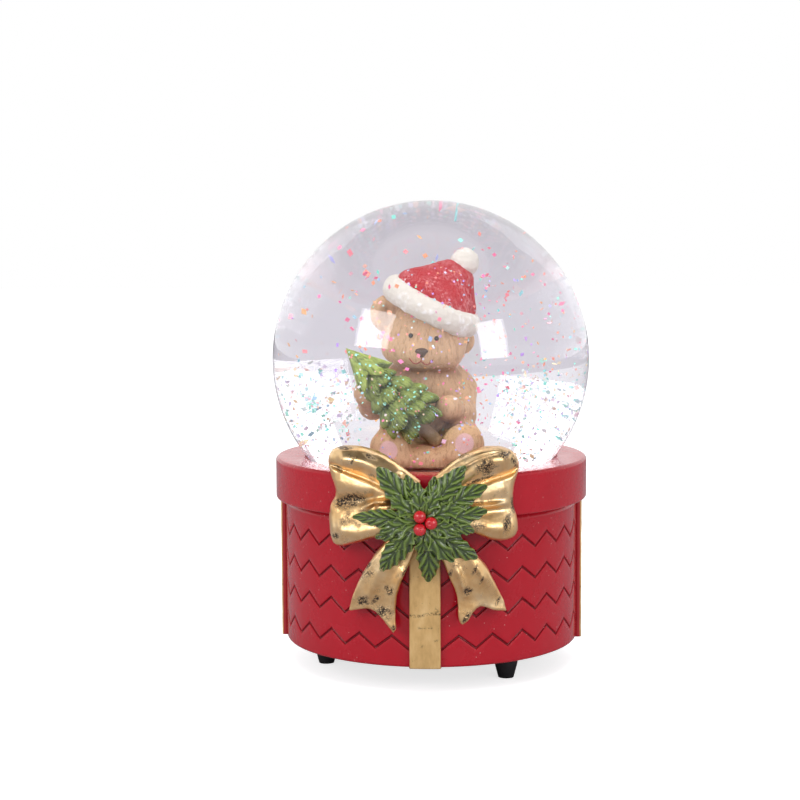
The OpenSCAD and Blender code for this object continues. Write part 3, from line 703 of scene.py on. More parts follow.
def face_parts(clay):
    """The eyes, nose and mouth, set into the face where its front is."""
    eyes = []
    for x, z in ((-4.9, 34.4), (1.5, 33.7)):
        at = np.array([x, clay.front(x, FOOT_Z + z) + 0.05, FOOT_Z + z])
        eyes.append(egg(at, 0.62))
    black = plain_paint("eye_black", (0.012, 0.010, 0.010), (0.02, 0.018, 0.018), 300, 0.01,
                        (0.08, 0.16), coat=1.0)
    box = (-7, -14, FOOT_Z + 32), (4, -4, FOOT_Z + 37)
    small_part("bear_eyes", eyes, box, 0.08, "bear_paint", black)

    x, z = -2.25, FOOT_Z + 30.3
    y = clay.front(x, z)
    nose = [egg((x, y, z + 0.35), (1.65, 0.75, 0.8)), egg((x, y, z - 0.45), (0.85, 0.65, 0.8))]
    brown = plain_paint("nose_brown", (0.075, 0.038, 0.022), (0.13, 0.075, 0.045), 700, 0.03, (0.35, 0.55))
    box = (x - 3, y - 2, z - 3), (x + 3, y + 2, z + 3)
    small_part("bear_nose", nose, box, 0.1, "bear_paint", brown, 0.6)

    lines = [[(x, z - 1.2), (x - 0.15, z - 2.1)]]
    for side, drop in ((-1, 0.1), (1, -0.15)):
        lines.append([
            (x - 0.15 + side * 2.9 * t, z - 2.1 - 1.0 * math.sin(math.pi * t) + drop * 2 * t + 0.35 * t)
            for t in np.linspace(0, 1, 11)])
    strokes = []
    for line in lines:
        places = [np.array([a, clay.front(a, b) + 0.06, b]) for a, b in line]
        strokes += [limb(p, q, 0.17, 0.17) for p, q in zip(places, places[1:])]
    red = plain_paint("mouth_red", (0.36, 0.07, 0.04), (0.46, 0.11, 0.06), 500, 0.01, (0.5, 0.7))
    box = (x - 4, y - 2, z - 5), (x + 4, y + 4, z)
    small_part("bear_mouth", strokes, box, 0.08, "bear_paint", red)


def hat():
    """The cap: a soft dome that leans right, with brushed plush and puckers at its tip."""
    clay = Clay((-13, -14, FOOT_Z + 33), (17, 12, FOOT_Z + 54), 0.25)
    clay.add(egg(above_foot(1.0, -1.8, 42.4), (10.6, 9.8, 7.0), BRIM_TURN))
    clay.add(egg(above_foot(4.5, -0.4, 45.6), (5.9, 6.2, 6.0)), 3.2)
    clay.cut(egg(HEAD, (9.3, 8.6, 8.1), HEAD_TURN))
    under = (clay.points - BRIM.astype(np.float32)) @ BRIM_TURN
    clay.field = np.maximum(clay.field, -under[..., 2] - 0.6)
    points, faces, normals = clay.skin()
    plush = value_noise(points * [1, 1, 0.45], 0.62, 11) * 0.6 + value_noise(points, 0.42, 12) * 0.4
    folds = value_noise(points * [0.7, 0.7, 1.3], 3.6, 13)
    points = points + normals * (0.13 * plush + 0.28 * folds)[:, None]
    worn = smooth_step(0.15, 0.75, 0.5 + 0.5 * value_noise(points, 3.2, 14) + 0.35 * folds)
    piece = mesh_object("hat", points, faces, hat_felt(), worn=worn)
    on_base(piece, "hat_paint", "santa_hat")

    clay = Clay((-16, -18, FOOT_Z + 30), (16, 13, FOOT_Z + 57), 0.25)
    clay.add(ring(BRIM, 10.1, 2.6, BRIM_TURN, 1.2))
    clay.add(egg(above_foot(8.3, 1.5, 50.9), 3.45))
    points, faces, normals = clay.skin()
    tufts = value_noise(points, 1.5, 15) * 0.55 + value_noise(points, 0.7, 16) * 0.45
    points = points + normals * (0.26 * tufts)[:, None]
    # The trim's raised tufts are stored as a painted highlight.
    piece = mesh_object("hat_trim", points, faces, plain_paint(
        "trim_paint", (0.70, 0.64, 0.53), (0.86, 0.82, 0.74), 220, 0.05, (0.6, 0.8),
        edge=(0.93, 0.91, 0.86)), relief=smooth_step(0.1, 0.7, tufts))
    on_base(piece, "trim_paint", "hat_trim")


def tree():
    """The fir: a folded pointed top, and tiers of ribbed rounded fronds under it."""
    run = TREE_FOOT - TREE_TIP
    length = np.linalg.norm(run)
    down = run / length
    side = np.cross(down, [0, 1, 0])
    side /= np.linalg.norm(side)
    front = np.cross(down, side)
    low, high = above_foot(-26, -30, -0.2), above_foot(8, -5, 34)
    clay = Clay(low, high, 0.25)

    def about(points):
        """Distance along the trunk from the tip, distance from it, and angle around it."""
        local = points - TREE_TIP.astype(np.float32)
        along = local @ down.astype(np.float32)
        u, v = local @ side.astype(np.float32), local @ front.astype(np.float32)
        return along, np.hypot(u, v), np.arctan2(v, u)

    def core(points):
        along, out, _ = about(points)
        cone = (out - 0.22 * along) * 0.97
        return np.maximum(cone, along - length * 0.80)

    def pointed_top(points):
        along, out, angle = about(points)
        folds = 1 + 0.15 * np.cos(angle * 5 + 0.6) + 0.035 * np.cos(angle * 21)
        cone = (out - (0.25 + 0.47 * along) * folds) * 0.88
        hem = length * 0.31 + 1.3 * np.cos(angle * 5 + 0.6)
        return np.maximum(cone, along - hem)

    clay.add(core)
    clay.add(pointed_top, 0.3)
    rng = np.random.RandomState(21)
    tiers = ((0.36, 5, 1.0), (0.48, 6, 1.0), (0.60, 7, 1.0), (0.71, 8, 1.0), (0.80, 6, 0.62))
    for tier, (share, count, spread) in enumerate(tiers):
        for i in range(count):
            angle = 2 * math.pi * (i + 0.5 * (tier % 2)) / count + rng.uniform(-0.14, 0.14)
            along = length * (share + rng.uniform(-0.02, 0.02))
            radial = math.cos(angle) * side + math.sin(angle) * front
            across = np.cross(down, radial)
            lean = math.radians(rng.uniform(34, 50) * spread)
            leaf_way = down * math.cos(lean) + radial * math.sin(lean)
            axes = np.stack([across, leaf_way, np.cross(leaf_way, across)], 1).astype(np.float32)
            size = 0.84 + 0.34 * share + rng.uniform(-0.08, 0.08)
            centre = TREE_TIP + down * along + radial * (0.30 * along * spread - 0.6)

            def frond(points, centre=centre, axes=axes, size=size):
                local = (points - centre.astype(np.float32)) @ axes / size
                ribs = 0.13 * np.cos(local[..., 0] * 7.5 + 0.5 * local[..., 1])
                width = np.clip(2.5 + 0.34 * local[..., 1], 1.2, 3.4)
                far = np.sqrt((local[..., 0] / width) ** 2 + (local[..., 1] / 3.6) ** 2
                              + (local[..., 2] / 1.25) ** 2)
                return ((far - 1) * 1.25 - ribs) * size * 0.8
            clay.add(frond, 0, (centre, 6.0))
    clay.field = np.maximum(clay.field, FOOT_Z + 0.05 - clay.points[..., 2])
    points, faces, normals = clay.skin()
    # Painted shade where the fronds crowd together.
    hollow = closeness(clay, points)
    grain = value_noise(points, 0.5, 22)
    points = points + normals * (0.05 * grain)[:, None]
    piece = mesh_object("tree", points, faces, tree_paint(down), hollow=hollow)
    on_base(piece, "tree_paint", "christmas_tree")

    trunk = [limb(TREE_FOOT - down * 6, TREE_FOOT + down * 1.4, 1.9, 1.9)]
    bark = plain_paint("trunk_paint", (0.17, 0.095, 0.045), (0.38, 0.25, 0.13), 420, 0.12, (0.5, 0.7))
    box = (TREE_FOOT - 10, TREE_FOOT + 6)
    small_part("trunk", trunk, box, 0.2, "trunk_paint", bark, nodes=["tree_trunk"])


def hat_felt():
    """Red with fine white dry-brush strokes, thickest on the folds, and painted shade in the low strokes."""
    paint = Paint("hat_paint", Specular_IOR_Level=0.3)
    tone = paint.mix(paint.noise(300, 4, 0.65), (0.40, 0.0, 0.004), (0.60, 0.002, 0.010))
    strokes = paint.noise(2300, 4, 0.7, (1, 1, 0.3))
    brushed = paint.math("MULTIPLY", paint.ramp(strokes, (0.50, 0.0), (0.57, 1.0)), paint.layer("worn"))
    tone = paint.mix(paint.math("MULTIPLY", brushed, 0.5), tone, (0.82, 0.46, 0.47))
    # Painted shade: darker red where the plush strokes are low.
    hollows = paint.ramp(strokes, (0.34, 1.0), (0.46, 0.0))
    tone = paint.mix(paint.math("MULTIPLY", hollows, 0.6), tone, (0.16, 0.002, 0.008))
    paint.set(Base_Color=tone, Roughness=paint.ramp(strokes, (0.3, 0.5), (0.7, 0.75)))
    paint.bump(strokes, 0.16, 0.7)
    return paint.material


def bear_paint():
    """Matte tan paint: rosier low down, brown painted shade in the creases, fine combed hair whose dark lines
    are partly painted shade, pink pads.
    """
    paint = Paint("bear_paint", Coat_Weight=0.12, Coat_Roughness=0.35)
    tone = paint.mix(paint.noise(120, 4, 0.6), (0.63, 0.375, 0.195), (0.76, 0.50, 0.285))
    hair = paint.noise(1300, 4, 0.65, (1, 1, 0.28))
    # Dark brown between the hair strokes, where the bump is low: hair lines, and painted shade in the bump's
    # grooves.
    between = paint.ramp(hair, (0.38, 1.0), (0.50, 0.0))
    tone = paint.mix(paint.math("MULTIPLY", between, 0.55), tone, (0.40, 0.20, 0.085))
    # Painted shade in the creases and hollows.
    tone = paint.mix(paint.math("MULTIPLY", paint.layer("crease"), 0.75), tone, (0.27, 0.12, 0.045))
    tone = paint.mix(paint.layer("pad"), tone, (0.80, 0.50, 0.47))
    paint.set(Base_Color=tone, Roughness=paint.ramp(hair, (0.3, 0.5), (0.7, 0.68)))
    paint.bump(hair, 0.22, 0.8)
    return paint.material


def tree_paint(down):
    """Olive green with light dry brushing on the fronds and dark green painted shade between them."""
    paint = Paint("tree_paint", Coat_Weight=0.25, Coat_Roughness=0.3)
    tone = paint.mix(paint.noise(220, 4, 0.6), (0.19, 0.285, 0.022), (0.42, 0.52, 0.07))
    along = paint.node("Mapping", 0, {"vector_type": "TEXTURE"}, Vector=paint.place(),
                       Rotation=tuple(Vector((0, 0, 1)).rotation_difference(Vector(down)).to_euler()),
                       Scale=(1, 1, 7))
    stria = paint.noise(1300, 2, 0.6, None, along)
    for stops, share, streak in ((((0.50, 0.0), (0.64, 1.0)), 0.65, (0.50, 0.62, 0.16)),
                                 (((0.36, 1.0), (0.47, 0.0)), 0.6, (0.035, 0.07, 0.01))):
        tone = paint.mix(paint.math("MULTIPLY", paint.ramp(stria, *stops), share), tone, streak)
    # Painted shade: dark green where the fronds crowd together.
    dark = paint.ramp(paint.layer("hollow"), (0.15, 0.0), (0.85, 1.0))
    tone = paint.mix(paint.math("MULTIPLY", dark, 0.6), tone, (0.03, 0.06, 0.009))
    paint.set(Base_Color=tone, Roughness=paint.ramp(stria, (0.3, 0.36), (0.7, 0.55)))
    paint.bump(stria, 0.12, 0.7)
    return paint.material


def pedestal():
    """The seat under the figure: a plain turned cushion of white resin with a rounded edge."""
    outline = [(0, PLUG_TOP + 0.1), (PEDESTAL_R - 0.4, PLUG_TOP + 0.1)]
    outline += arc(PEDESTAL_R - 1.2, PLUG_TOP + 1.4, 1.2, -60, 0, 6)
    outline += arc(PEDESTAL_R - 1.6, FOOT_Z - 1.6, 1.6, 0, 90, 8)
    outline += [(0, FOOT_Z)]
    points, faces = turned(outline, 160)
    piece = mesh_object("pedestal", points, faces, plain_paint(
        "pedestal_paint", (0.72, 0.66, 0.60), (0.84, 0.80, 0.76), 200, 0.05, (0.5, 0.7)))
    on_base(piece, "pedestal_paint", "figure_pedestal")


# --- Ribbons, bow and holly ----------------------------------------------------

def smooth_line(points, steps=8):
    """A smooth open line through points."""
    points = np.array(points, float)
    ends = np.vstack([2 * points[0] - points[1], points, 2 * points[-1] - points[-2]])
    line = []
    for a, b, c, d in zip(ends, ends[1:], ends[2:], ends[3:]):
        for t in np.arange(steps) / steps:
            line.append(0.5 * (2 * b + (c - a) * t + (2 * a - 5 * b + 4 * c - d) * t ** 2
                               + (3 * b - a - 3 * c + d) * t ** 3))
    return np.array(line + [points[-1]])


def line_distance(x, z, line):
    """Distance from places seen from the front to a line, and the share of the way along it."""
    best, along = np.full(x.shape, 1e3), np.zeros(x.shape)
    lengths = np.concatenate([[0], np.cumsum(np.linalg.norm(np.diff(line, axis=0), axis=1))])
    for start, end, first, last in zip(line, line[1:], lengths, lengths[1:]):
        run = end - start
        share = np.clip(((x - start[0]) * run[0] + (z - start[1]) * run[1]) / (run @ run), 0, 1)
        far = np.hypot(x - start[0] - share * run[0], z - start[1] - share * run[1])
        near = far < best
        best = np.where(near, far, best)
        along = np.where(near, (first + share * (last - first)) / lengths[-1], along)
    return best, along


def inside_distance(x, z, outline):
    """How far places lie inside a closed outline; below 0 outside it."""
    closed = np.vstack([outline, outline[:1]])
    far, _ = line_distance(x, z, closed)
    inside = np.zeros(x.shape, bool)
    for a, b in zip(closed, closed[1:]):
        crosses = (a[1] > z) != (b[1] > z)
        if a[1] != b[1]:
            inside ^= crosses & (x < (b[0] - a[0]) * (z - a[1]) / (b[1] - a[1]) + a[0])
    return np.where(inside, far, -far)


def roll(x, z, line, width, height, ends=0.12):
    """A round ridge along a line, lower at its two ends."""
    far, along = line_distance(x, z, smooth_line(line, 6))
    fade = smooth_step(0, ends, along) * smooth_step(0, ends, 1 - along)
    return height * (0.35 + 0.65 * fade) * np.exp(-(far / width) ** 2)


SPOT_SPREAD = 1.2          # how much larger the worn patches are than their numbers say
TAIL_TOP, TAIL_LONG = 50, 28


def ridged(base, *rolls, wave=None, hem=None):
    """The height of a casting's face: a base, which may wave along a tail, with rolls of
    (line, width, height) on it, hollows where the height is below 0, and a hem that turns out."""
    def height(x, z):
        face = np.full(x.shape, base)
        if wave:
            face += 0.9 * np.sin((TAIL_TOP - z) / TAIL_LONG * wave[0] + wave[1])
        for line, width, tall, *ends in rolls:
            face += roll(x, z, line, width, tall, *ends)
        if hem:
            face += 1.1 * smooth_step(*hem, z)
        return face
    return height


def casting(name, outline, height, back, pitch=0.25, lip=1.4, spots=(), floor=0.5, stretch=(1, 1), drop=0):
    """A gold casting on the box's front: its outline seen from the front, and its face as a height
    above back, the distance of its flat back from the globe's axis. Its worn spots are (x, z, half
    width, half height, lean in degrees). At the end it is stretched and lowered."""
    low = (outline[:, 0].min() - 1, -back - 9, outline[:, 1].min() - 1)
    high = (outline[:, 0].max() + 1, -math.sqrt(back ** 2 - np.abs(outline[:, 0]).max() ** 2) + 2,
            outline[:, 1].max() + 1)
    clay = Clay(low, high, pitch)
    x, z = clay.points[:, 0, :, 0], clay.points[:, 0, :, 2]
    inside = inside_distance(x, z, outline)
    rounding = np.sqrt(np.clip(1 - (1 - np.clip(inside / lip, 0, 1)) ** 2, 0, 1))
    face = floor + (height(x, z) - floor) * rounding
    out = np.hypot(clay.points[..., 0], clay.points[..., 1]) - back
    body = np.maximum(out - face[:, None, :], -out) * 0.8
    clay.field = np.maximum(body, -inside[:, None, :]).astype(np.float32)
    points, faces, normals = clay.skin()
    dents = 0.05 * value_noise(points, 1.8, 31) + 0.02 * value_noise(points, 0.6, 32)
    points = points + normals * dents[:, None]
    worn = np.zeros(len(points))
    for sx, sz, across, tall, lean in spots:
        u, v = points[:, 0] - sx, points[:, 2] - sz
        c, s = math.cos(math.radians(lean)), math.sin(math.radians(lean))
        far = np.hypot((u * c + v * s) / across, (v * c - u * s) / tall) / SPOT_SPREAD
        worn = np.maximum(worn, 1 - smooth_step(0.45, 1.15, far + 0.35 * value_noise(points, 1.1, 33)))
    points[:, 0] *= stretch[0]
    points[:, 2] = BOW_Z + (points[:, 2] - BOW_Z) * stretch[1] - drop
    return on_base(mesh_object(name, points, faces, GOLD, worn=worn), "gold_leaf", name)


def bow():
    """The two loops, the two tails and the knot behind the holly."""
    loop_back = LID_R + 0.1
    outline = np.vstack([
        smooth_line([(-3, 66), (-9, 70.7), (-13.3, 73.5), (-17.6, 75.1), (-21.6, 75.6), (-25.8, 75.2),
                     (-28.6, 73.6), (-29.6, 70.6), (-28.8, 66.6), (-27.5, 62.8), (-27.6, 60.6), (-29.1, 57.5),
                     (-29.4, 53), (-29, 48.6), (-27.8, 46.6), (-25.4, 46.3), (-20.4, 47.8), (-15.5, 49.6),
                     (-8, 50.4)]),
        [(-2, 51)]])
    face = ridged(
        2.6,
        ([(-27.2, 71.8), (-23, 71.9), (-17.5, 70.8), (-9, 66)], 2.7, 3.1),
        ([(-29.3, 70), (-23.4, 68.1), (-16, 65.6), (-8, 61.5)], 0.75, -1.5, 0.04),
        ([(-28, 65.6), (-20, 63.4), (-12, 60.8)], 2.4, 0.7),
        ([(-27.6, 59.2), (-21, 60), (-15, 60.4)], 2.1, -1.7),
        ([(-19.8, 57.9), (-16, 59.9), (-11, 60.4)], 0.9, 2.1, 0.25),
        ([(-16, 57.4), (-11, 57.9)], 1.3, 1.2, 0.3),
        ([(-27.5, 51), (-20.5, 51.4), (-12, 53.2)], 3.5, 2.4))
    casting("bow_loop_left", outline, face, loop_back, stretch=(1.03, 1.027), drop=1.77, spots=(
        (-22.6, 60.1, 5.4, 2.0, 17), (-22.3, 71.6, 1.2, 0.45, 62), (-17.2, 73, 2.6, 0.5, -25),
        (-24.5, 75, 2.6, 0.4, 4), (-27.4, 49.4, 1.2, 1.0, 0), (-26.9, 69.5, 1.2, 0.4, -20)))

    outline = np.vstack([
        [(-1, 51)],
        smooth_line([(8.6, 51.8), (11.6, 51), (14.8, 49.4), (17.8, 48.2), (21.6, 47.8), (24.2, 48.5),
                     (25.6, 50.4), (25.4, 54), (24.4, 57.4), (24.2, 60.6), (24.6, 64), (25.7, 67.4),
                     (25.9, 70.2), (24.4, 73.2), (21, 75), (17, 75.5), (13.6, 75), (9.5, 73.4), (5.6, 71),
                     (1, 67)])])
    face = ridged(
        2.6,
        ([(23.4, 71.4), (18, 71.6), (12.6, 69.6), (5, 64.5)], 3.3, 3.2),
        ([(25.6, 69.4), (23.6, 67.6), (17.4, 65.9), (8, 62.8)], 0.7, -1.6, 0.04),
        ([(24.6, 73), (20, 74), (14, 72.7), (9.6, 70.6)], 0.4, -0.6, 0.1),
        ([(22.4, 63.8), (14, 61)], 2.4, 0.5),
        ([(21.4, 58.9), (16.8, 58.7), (9, 58.4)], 0.8, 1.7, 0.25),
        ([(23.6, 57.3), (15, 56.6), (9, 56.4)], 1.2, -0.5),
        ([(22.5, 51.8), (15.5, 52.6), (9, 54.6)], 3.0, 2.0))
    casting("bow_loop_right", outline, face, loop_back, stretch=(1, 1.02), drop=1.5, spots=(
        (16.2, 70.2, 2.8, 2.9, 30), (21.6, 73.2, 1.9, 1.1, -15), (24.2, 71.2, 0.9, 2.2, 25),
        (22.3, 53, 1.3, 3.0, -12), (24, 58, 0.6, 2.6, 5), (14.5, 66.3, 4.2, 0.6, 14),
        (9.6, 63.4, 2.6, 0.4, 8), (13.2, 49.6, 1.4, 0.5, -30)))

    tail = {"back": LID_R - 0.25, "lip": 0.8, "floor": 1.3}
    outline = np.vstack([
        smooth_line([(-12.5, 50), (-16.2, 45.3), (-18.7, 41.4), (-21.1, 37), (-23.2, 32), (-24.5, 27)]),
        smooth_line([(-21.6, 27.7), (-18.7, 28.2), (-16.4, 27.4), (-14, 24.8), (-11.2, 21.3)]),
        smooth_line([(-10.4, 22.6), (-10.6, 28), (-10, 33), (-8.3, 38), (-5.6, 44), (-3, 50)])])
    face = ridged(
        1.9,
        ([(-12.5, 46), (-16.2, 38), (-19.3, 31)], 1.5, 0.7),
        ([(-7.6, 42), (-10.8, 34), (-12.4, 27)], 1.3, 0.9),
        wave=(4.2, 0.4), hem=(30, 22))
    casting("bow_tail_left", outline, face, drop=2.2, **tail, spots=(
        (-12.6, 34.6, 1.3, 1.5, 45), (-16.2, 31.3, 0.9, 1.9, -40), (-20.4, 30.5, 2.1, 1.5, 20),
        (-18.3, 41.4, 0.4, 1.6, -35), (-7.8, 40.2, 0.5, 1.8, -25), (-11.2, 23, 0.7, 0.9, 0)))

    outline = np.vstack([
        smooth_line([(1, 48), (4, 41.2), (5.7, 37), (7, 34), (7.7, 30.6), (7.8, 26.6), (8.3, 24.3),
                     (9.2, 23.6)]),
        smooth_line([(10.7, 24.7), (12.3, 27.2), (14.2, 28.8), (16.2, 28.4), (18.6, 27.4), (22.2, 26.9)]),
        smooth_line([(21.4, 30), (19.8, 33.3), (18.1, 37), (16.4, 40.3), (14, 43.6), (9, 49)])])
    face = ridged(
        1.9,
        ([(6.6, 42.5), (8.6, 37.6), (10, 32.5)], 0.9, 1.1, 0.3),
        ([(12, 43), (14.8, 38.6), (16.4, 35.4)], 1.0, 1.0, 0.3),
        wave=(4.0, 0.6), hem=(32, 24))
    casting("bow_tail_right", outline, face, drop=1.9, **tail, spots=(
        (10.6, 33.8, 1.5, 1.3, 30), (5.6, 39.4, 0.5, 1.6, -25), (12.5, 40, 0.6, 1.8, -28),
        (10.3, 26, 0.7, 2.0, -35), (14.8, 37, 0.35, 2.0, -25), (19.5, 30, 0.5, 1.8, -28)))

    outline = np.array([(BOW_X + 6 * math.cos(a), BOW_Z + 5.4 * math.sin(a))
                        for a in np.linspace(0, 2 * math.pi, 48, endpoint=False)])
    casting("bow_knot", outline, lambda x, z: 5.2 + 0.5 * np.cos((x - BOW_X) * 1.9), loop_back, 0.3, lip=3)


def band(name, middle):
    """One ribbon up the box's wall, with soft edges and a slightly uneven face; middle is its angle."""
    thick = BAND_R - BODY_R
    half = math.asin(BAND_W / 2 / BAND_R)
    across = []
    for u in np.linspace(-1, 1, 25):
        edge = 1 - (1 - np.clip((1 - abs(u)) / 0.09, 0, 1)) ** 2
        across.append((half * u, thick * (0.35 + 0.65 * math.sqrt(edge))))
    across = [(-half, -0.3)] + across + [(half, -0.3)]
    rows = np.arange(RIM_Z + 0.05, LID_Z - 0.05, 0.35)
    points = []
    for z in rows:
        for angle, out in across:
            a = middle + angle
            radius = BODY_R + out
            points.append([radius * math.cos(a), radius * math.sin(a), z])
    points = np.array(points)
    lift = 0.07 * value_noise(points, 4, 41) + 0.03 * value_noise(points, 1.1, 42)
    outward = points[:, :2] / np.linalg.norm(points[:, :2], axis=1, keepdims=True)
    points[:, :2] += outward * lift[:, None]
    count = len(across)
    faces = grid_faces(len(rows), count, True)
    faces += [list(range(count))[::-1], list(range(len(points) - count, len(points)))]
    side = np.tile(np.clip(1 - np.array([o for _, o in across]) / thick, 0, 1), len(rows))
    above = points[:, 2] - RIM_Z
    turn = np.arctan2(points[:, 1], points[:, 0]) - middle
    streak = np.exp(-((above - 16.3 - 0.4 * np.sin(turn * 30)) / 0.28) ** 2)
    streak = np.maximum(streak, 0.7 * np.exp(-((above - 12.4) / 0.2) ** 2) * (np.abs(turn) < half * 0.5))
    worn = np.maximum(streak, smooth_step(0.62, 0.9, value_noise(points, 1.5, 43)) * 0.5)
    piece = mesh_object(name, points, faces, BAND, worn=worn, side=side)
    return on_base(piece, "gold_leaf", name)


def leaf(root, angle, length, width, drop, spines, ribs, seed):
    """One holly leaf as a thin closed solid. It starts at root and points at angle, seen from the front;
    drop is how far its tip lies back, spines are the points along each edge and ribs how far each vein
    leans towards the tip. Leaves with many spines are long and feathery."""
    rng = np.random.RandomState(seed)
    fern = spines > 5
    rows, columns = 84 if fern else 60, 21
    s, t = np.meshgrid(np.linspace(0, 1, rows), np.linspace(-1, 1, columns), indexing="ij")
    if fern:
        body = np.clip(s / 0.34, 0, 1) ** 0.5 * np.clip((1 - s) / 0.42, 0, 1) ** 0.55
    else:
        body = np.sin(math.pi * np.clip(s, 0, 1) ** 0.9) ** 0.6
    body = np.maximum(body, 0.16 * (1 - s))
    scallop = np.abs(np.sin(math.pi * spines * s ** 0.95))
    half = width / 2 * body * (1 - (0.16 if fern else 0.40) * scallop * smooth_step(0.02, 0.2, s))
    u = length * (s + 0.035 * np.abs(t) * (1 - s) * 2 + 0.02 * np.cos(s * 9 + seed))
    v = half * t + rng.uniform(-0.9, 0.9) * np.sin(math.pi * s * 0.9)
    arch = 1.1 * np.sin(math.pi * np.clip(s * 1.05, 0, 1))
    veins = np.cos(2 * math.pi * (spines * s ** 0.95 + ribs * (1 - np.abs(t) ** 0.8)))
    veins *= (0.42 if fern else 0.28) * smooth_step(0.04, 0.2, np.abs(t))
    midrib = -0.55 * np.exp(-(t / 0.10) ** 2)
    cup = (-0.75 * t ** 2 if fern else 0.55 * np.abs(t) ** 1.6) * np.sin(math.pi * s) ** 0.5
    curl = (0.25 if fern else 0.5) * scallop * np.abs(t) ** 3
    out = arch + veins * np.sin(math.pi * s) ** 0.5 + midrib + cup - curl - drop * s ** 1.6
    a = math.radians(angle)
    x = root[0] + u * math.cos(a) - v * math.sin(a)
    z = root[2] + u * math.sin(a) + v * math.cos(a)
    front = np.stack([x, -(root[1] + out), z], -1).reshape(-1, 3)
    behind = np.stack([x, -(root[1] + out - 0.75 - 0.35 * (1 - np.abs(t))), z], -1).reshape(-1, 3)
    points = np.vstack([front, behind])
    faces = grid_faces(rows, columns)
    total = rows * columns
    faces += [[total + i for i in f[::-1]] for f in faces]
    border = (list(range(columns)) + [r * columns + columns - 1 for r in range(1, rows)]
              + [(rows - 1) * columns + c for c in range(columns - 2, -1, -1)]
              + [r * columns for r in range(rows - 2, 0, -1)])
    faces += [[b, a2, a2 + total, b + total] for a2, b in zip(border, border[1:] + border[:1])]
    # Painted highlight on the vein crests and along the edges; painted shade in the vein troughs, along the
    # midrib and towards the root.
    relief = np.clip(0.15 + veins / 0.3 * 0.45 + 0.75 * smooth_step(0.78, 1.0, np.abs(t)), 0, 1).ravel()
    hollow = -veins / 0.3 * 0.8 + 1.2 * np.exp(-(t / 0.08) ** 2) + 0.8 * smooth_step(0.3, 0.0, s)
    hollow = np.clip(hollow, 0, 1).ravel()
    return points, [f[::-1] for f in faces], np.tile(relief, 2), np.tile(hollow, 2)


OUTER_LEAVES = (
    # angle, length, width, how far the tip drops back
    (131, 20.8, 7.8, 0.3), (110, 14.5, 5.6, 0.6), (52, 20.2, 7.8, 0.2), (28, 20.8, 7.8, 0.4),
    (8, 18.4, 7.0, 1.0), (-37, 19.6, 7.4, 4.6), (-87, 19.4, 7.6, 5.0), (-128, 20.8, 7.4, 4.8),
    (178, 21.0, 6.0, 2.0), (200, 15.0, 6.0, 2.0), (76, 13.0, 5.2, 0.5), (-14, 15.0, 6.2, 1.4))
INNER_LEAVES = (
    (143, 12.6, 6.6, 0.6), (98, 11.6, 6.2, 0.4), (62, 11.4, 6.0, 0.3), (18, 12.4, 6.6, 0.5),
    (-20, 10.8, 6.2, 0.8), (-54, 15.0, 6.8, 2.2), (-98, 10.2, 6.2, 1.2), (-132, 12.8, 6.6, 1.8),
    (194, 13.2, 6.6, 0.8), (166, 10.4, 5.6, 0.4))


def holly():
    """Two rings of leaves about the knot, the outer ones long and deeply veined."""
    for name, leaves, lift, spines, ribs in (("holly_outer", OUTER_LEAVES, 54.8, 7, 1.5),
                                             ("holly_inner", INNER_LEAVES, 55.7, 4, 1.1)):
        points, faces, relief, hollow = [], [], [], []
        for i, (angle, length, width, drop) in enumerate(leaves):
            root = (BOW_X, lift + 0.22 * (i % 3), BOW_Z - 0.3)
            made = leaf(root, angle, length, width, drop, spines, ribs, 50 + i)
            start = sum(len(p) for p in points)
            points.append(made[0])
            faces += [[start + k for k in f] for f in made[1]]
            relief.append(made[2])
            hollow.append(made[3])
        piece = mesh_object(name, np.vstack(points), faces, HOLLY, relief=np.concatenate(relief),
                            hollow=np.concatenate(hollow))
        on_base(piece, "holly_paint", *(["holly_leaves"] if name == "holly_outer" else []))


def berries():
    """Three glossy berries, each a little flattened and with a dark dimple at its end."""
    radius = 1.85
    spread = 2.15
    outline = [(0, -radius * 0.9)] + [
        (radius * math.cos(a), radius * 0.93 * math.sin(a)) for a in np.linspace(-1.45, 1.25, 24)]
    outline += [(0.32, radius * 0.84), (0.16, radius * 0.76), (0, radius * 0.74)]
    lathe, faces = turned(outline, 40)
    lathe = np.array(lathe)
    points, every = [], []
    for i in range(3):
        a = math.radians(120 * i)
        tilt = turn_matrix(x=90 + 14 * math.sin(a), z=-16 * math.cos(a))
        centre = [BOW_X + spread * math.cos(a), -(BERRY_FRONT - radius * 0.93) + 0.1,
                  BOW_Z - 0.7 + spread * math.sin(a)]
        start = len(lathe) * i
        points.append(lathe @ tilt.T + centre)
        every += [[start + k for k in f] for f in faces]
    paint = Paint("berry_paint", Coat_Weight=1.0, Coat_Roughness=0.04)
    tone = paint.mix(paint.noise(700, 3, 0.6), (0.42, 0.004, 0.010), (0.58, 0.012, 0.02))
    paint.set(Base_Color=tone, Roughness=paint.ramp(paint.noise(900, 3), (0.3, 0.12), (0.7, 0.24)))
    paint.bump(paint.noise(500, 2), 0.03, 0.4)
    piece = mesh_object("berries", np.vstack(points), every, paint.material)
    on_base(piece, "berry_paint", "holly_berries")


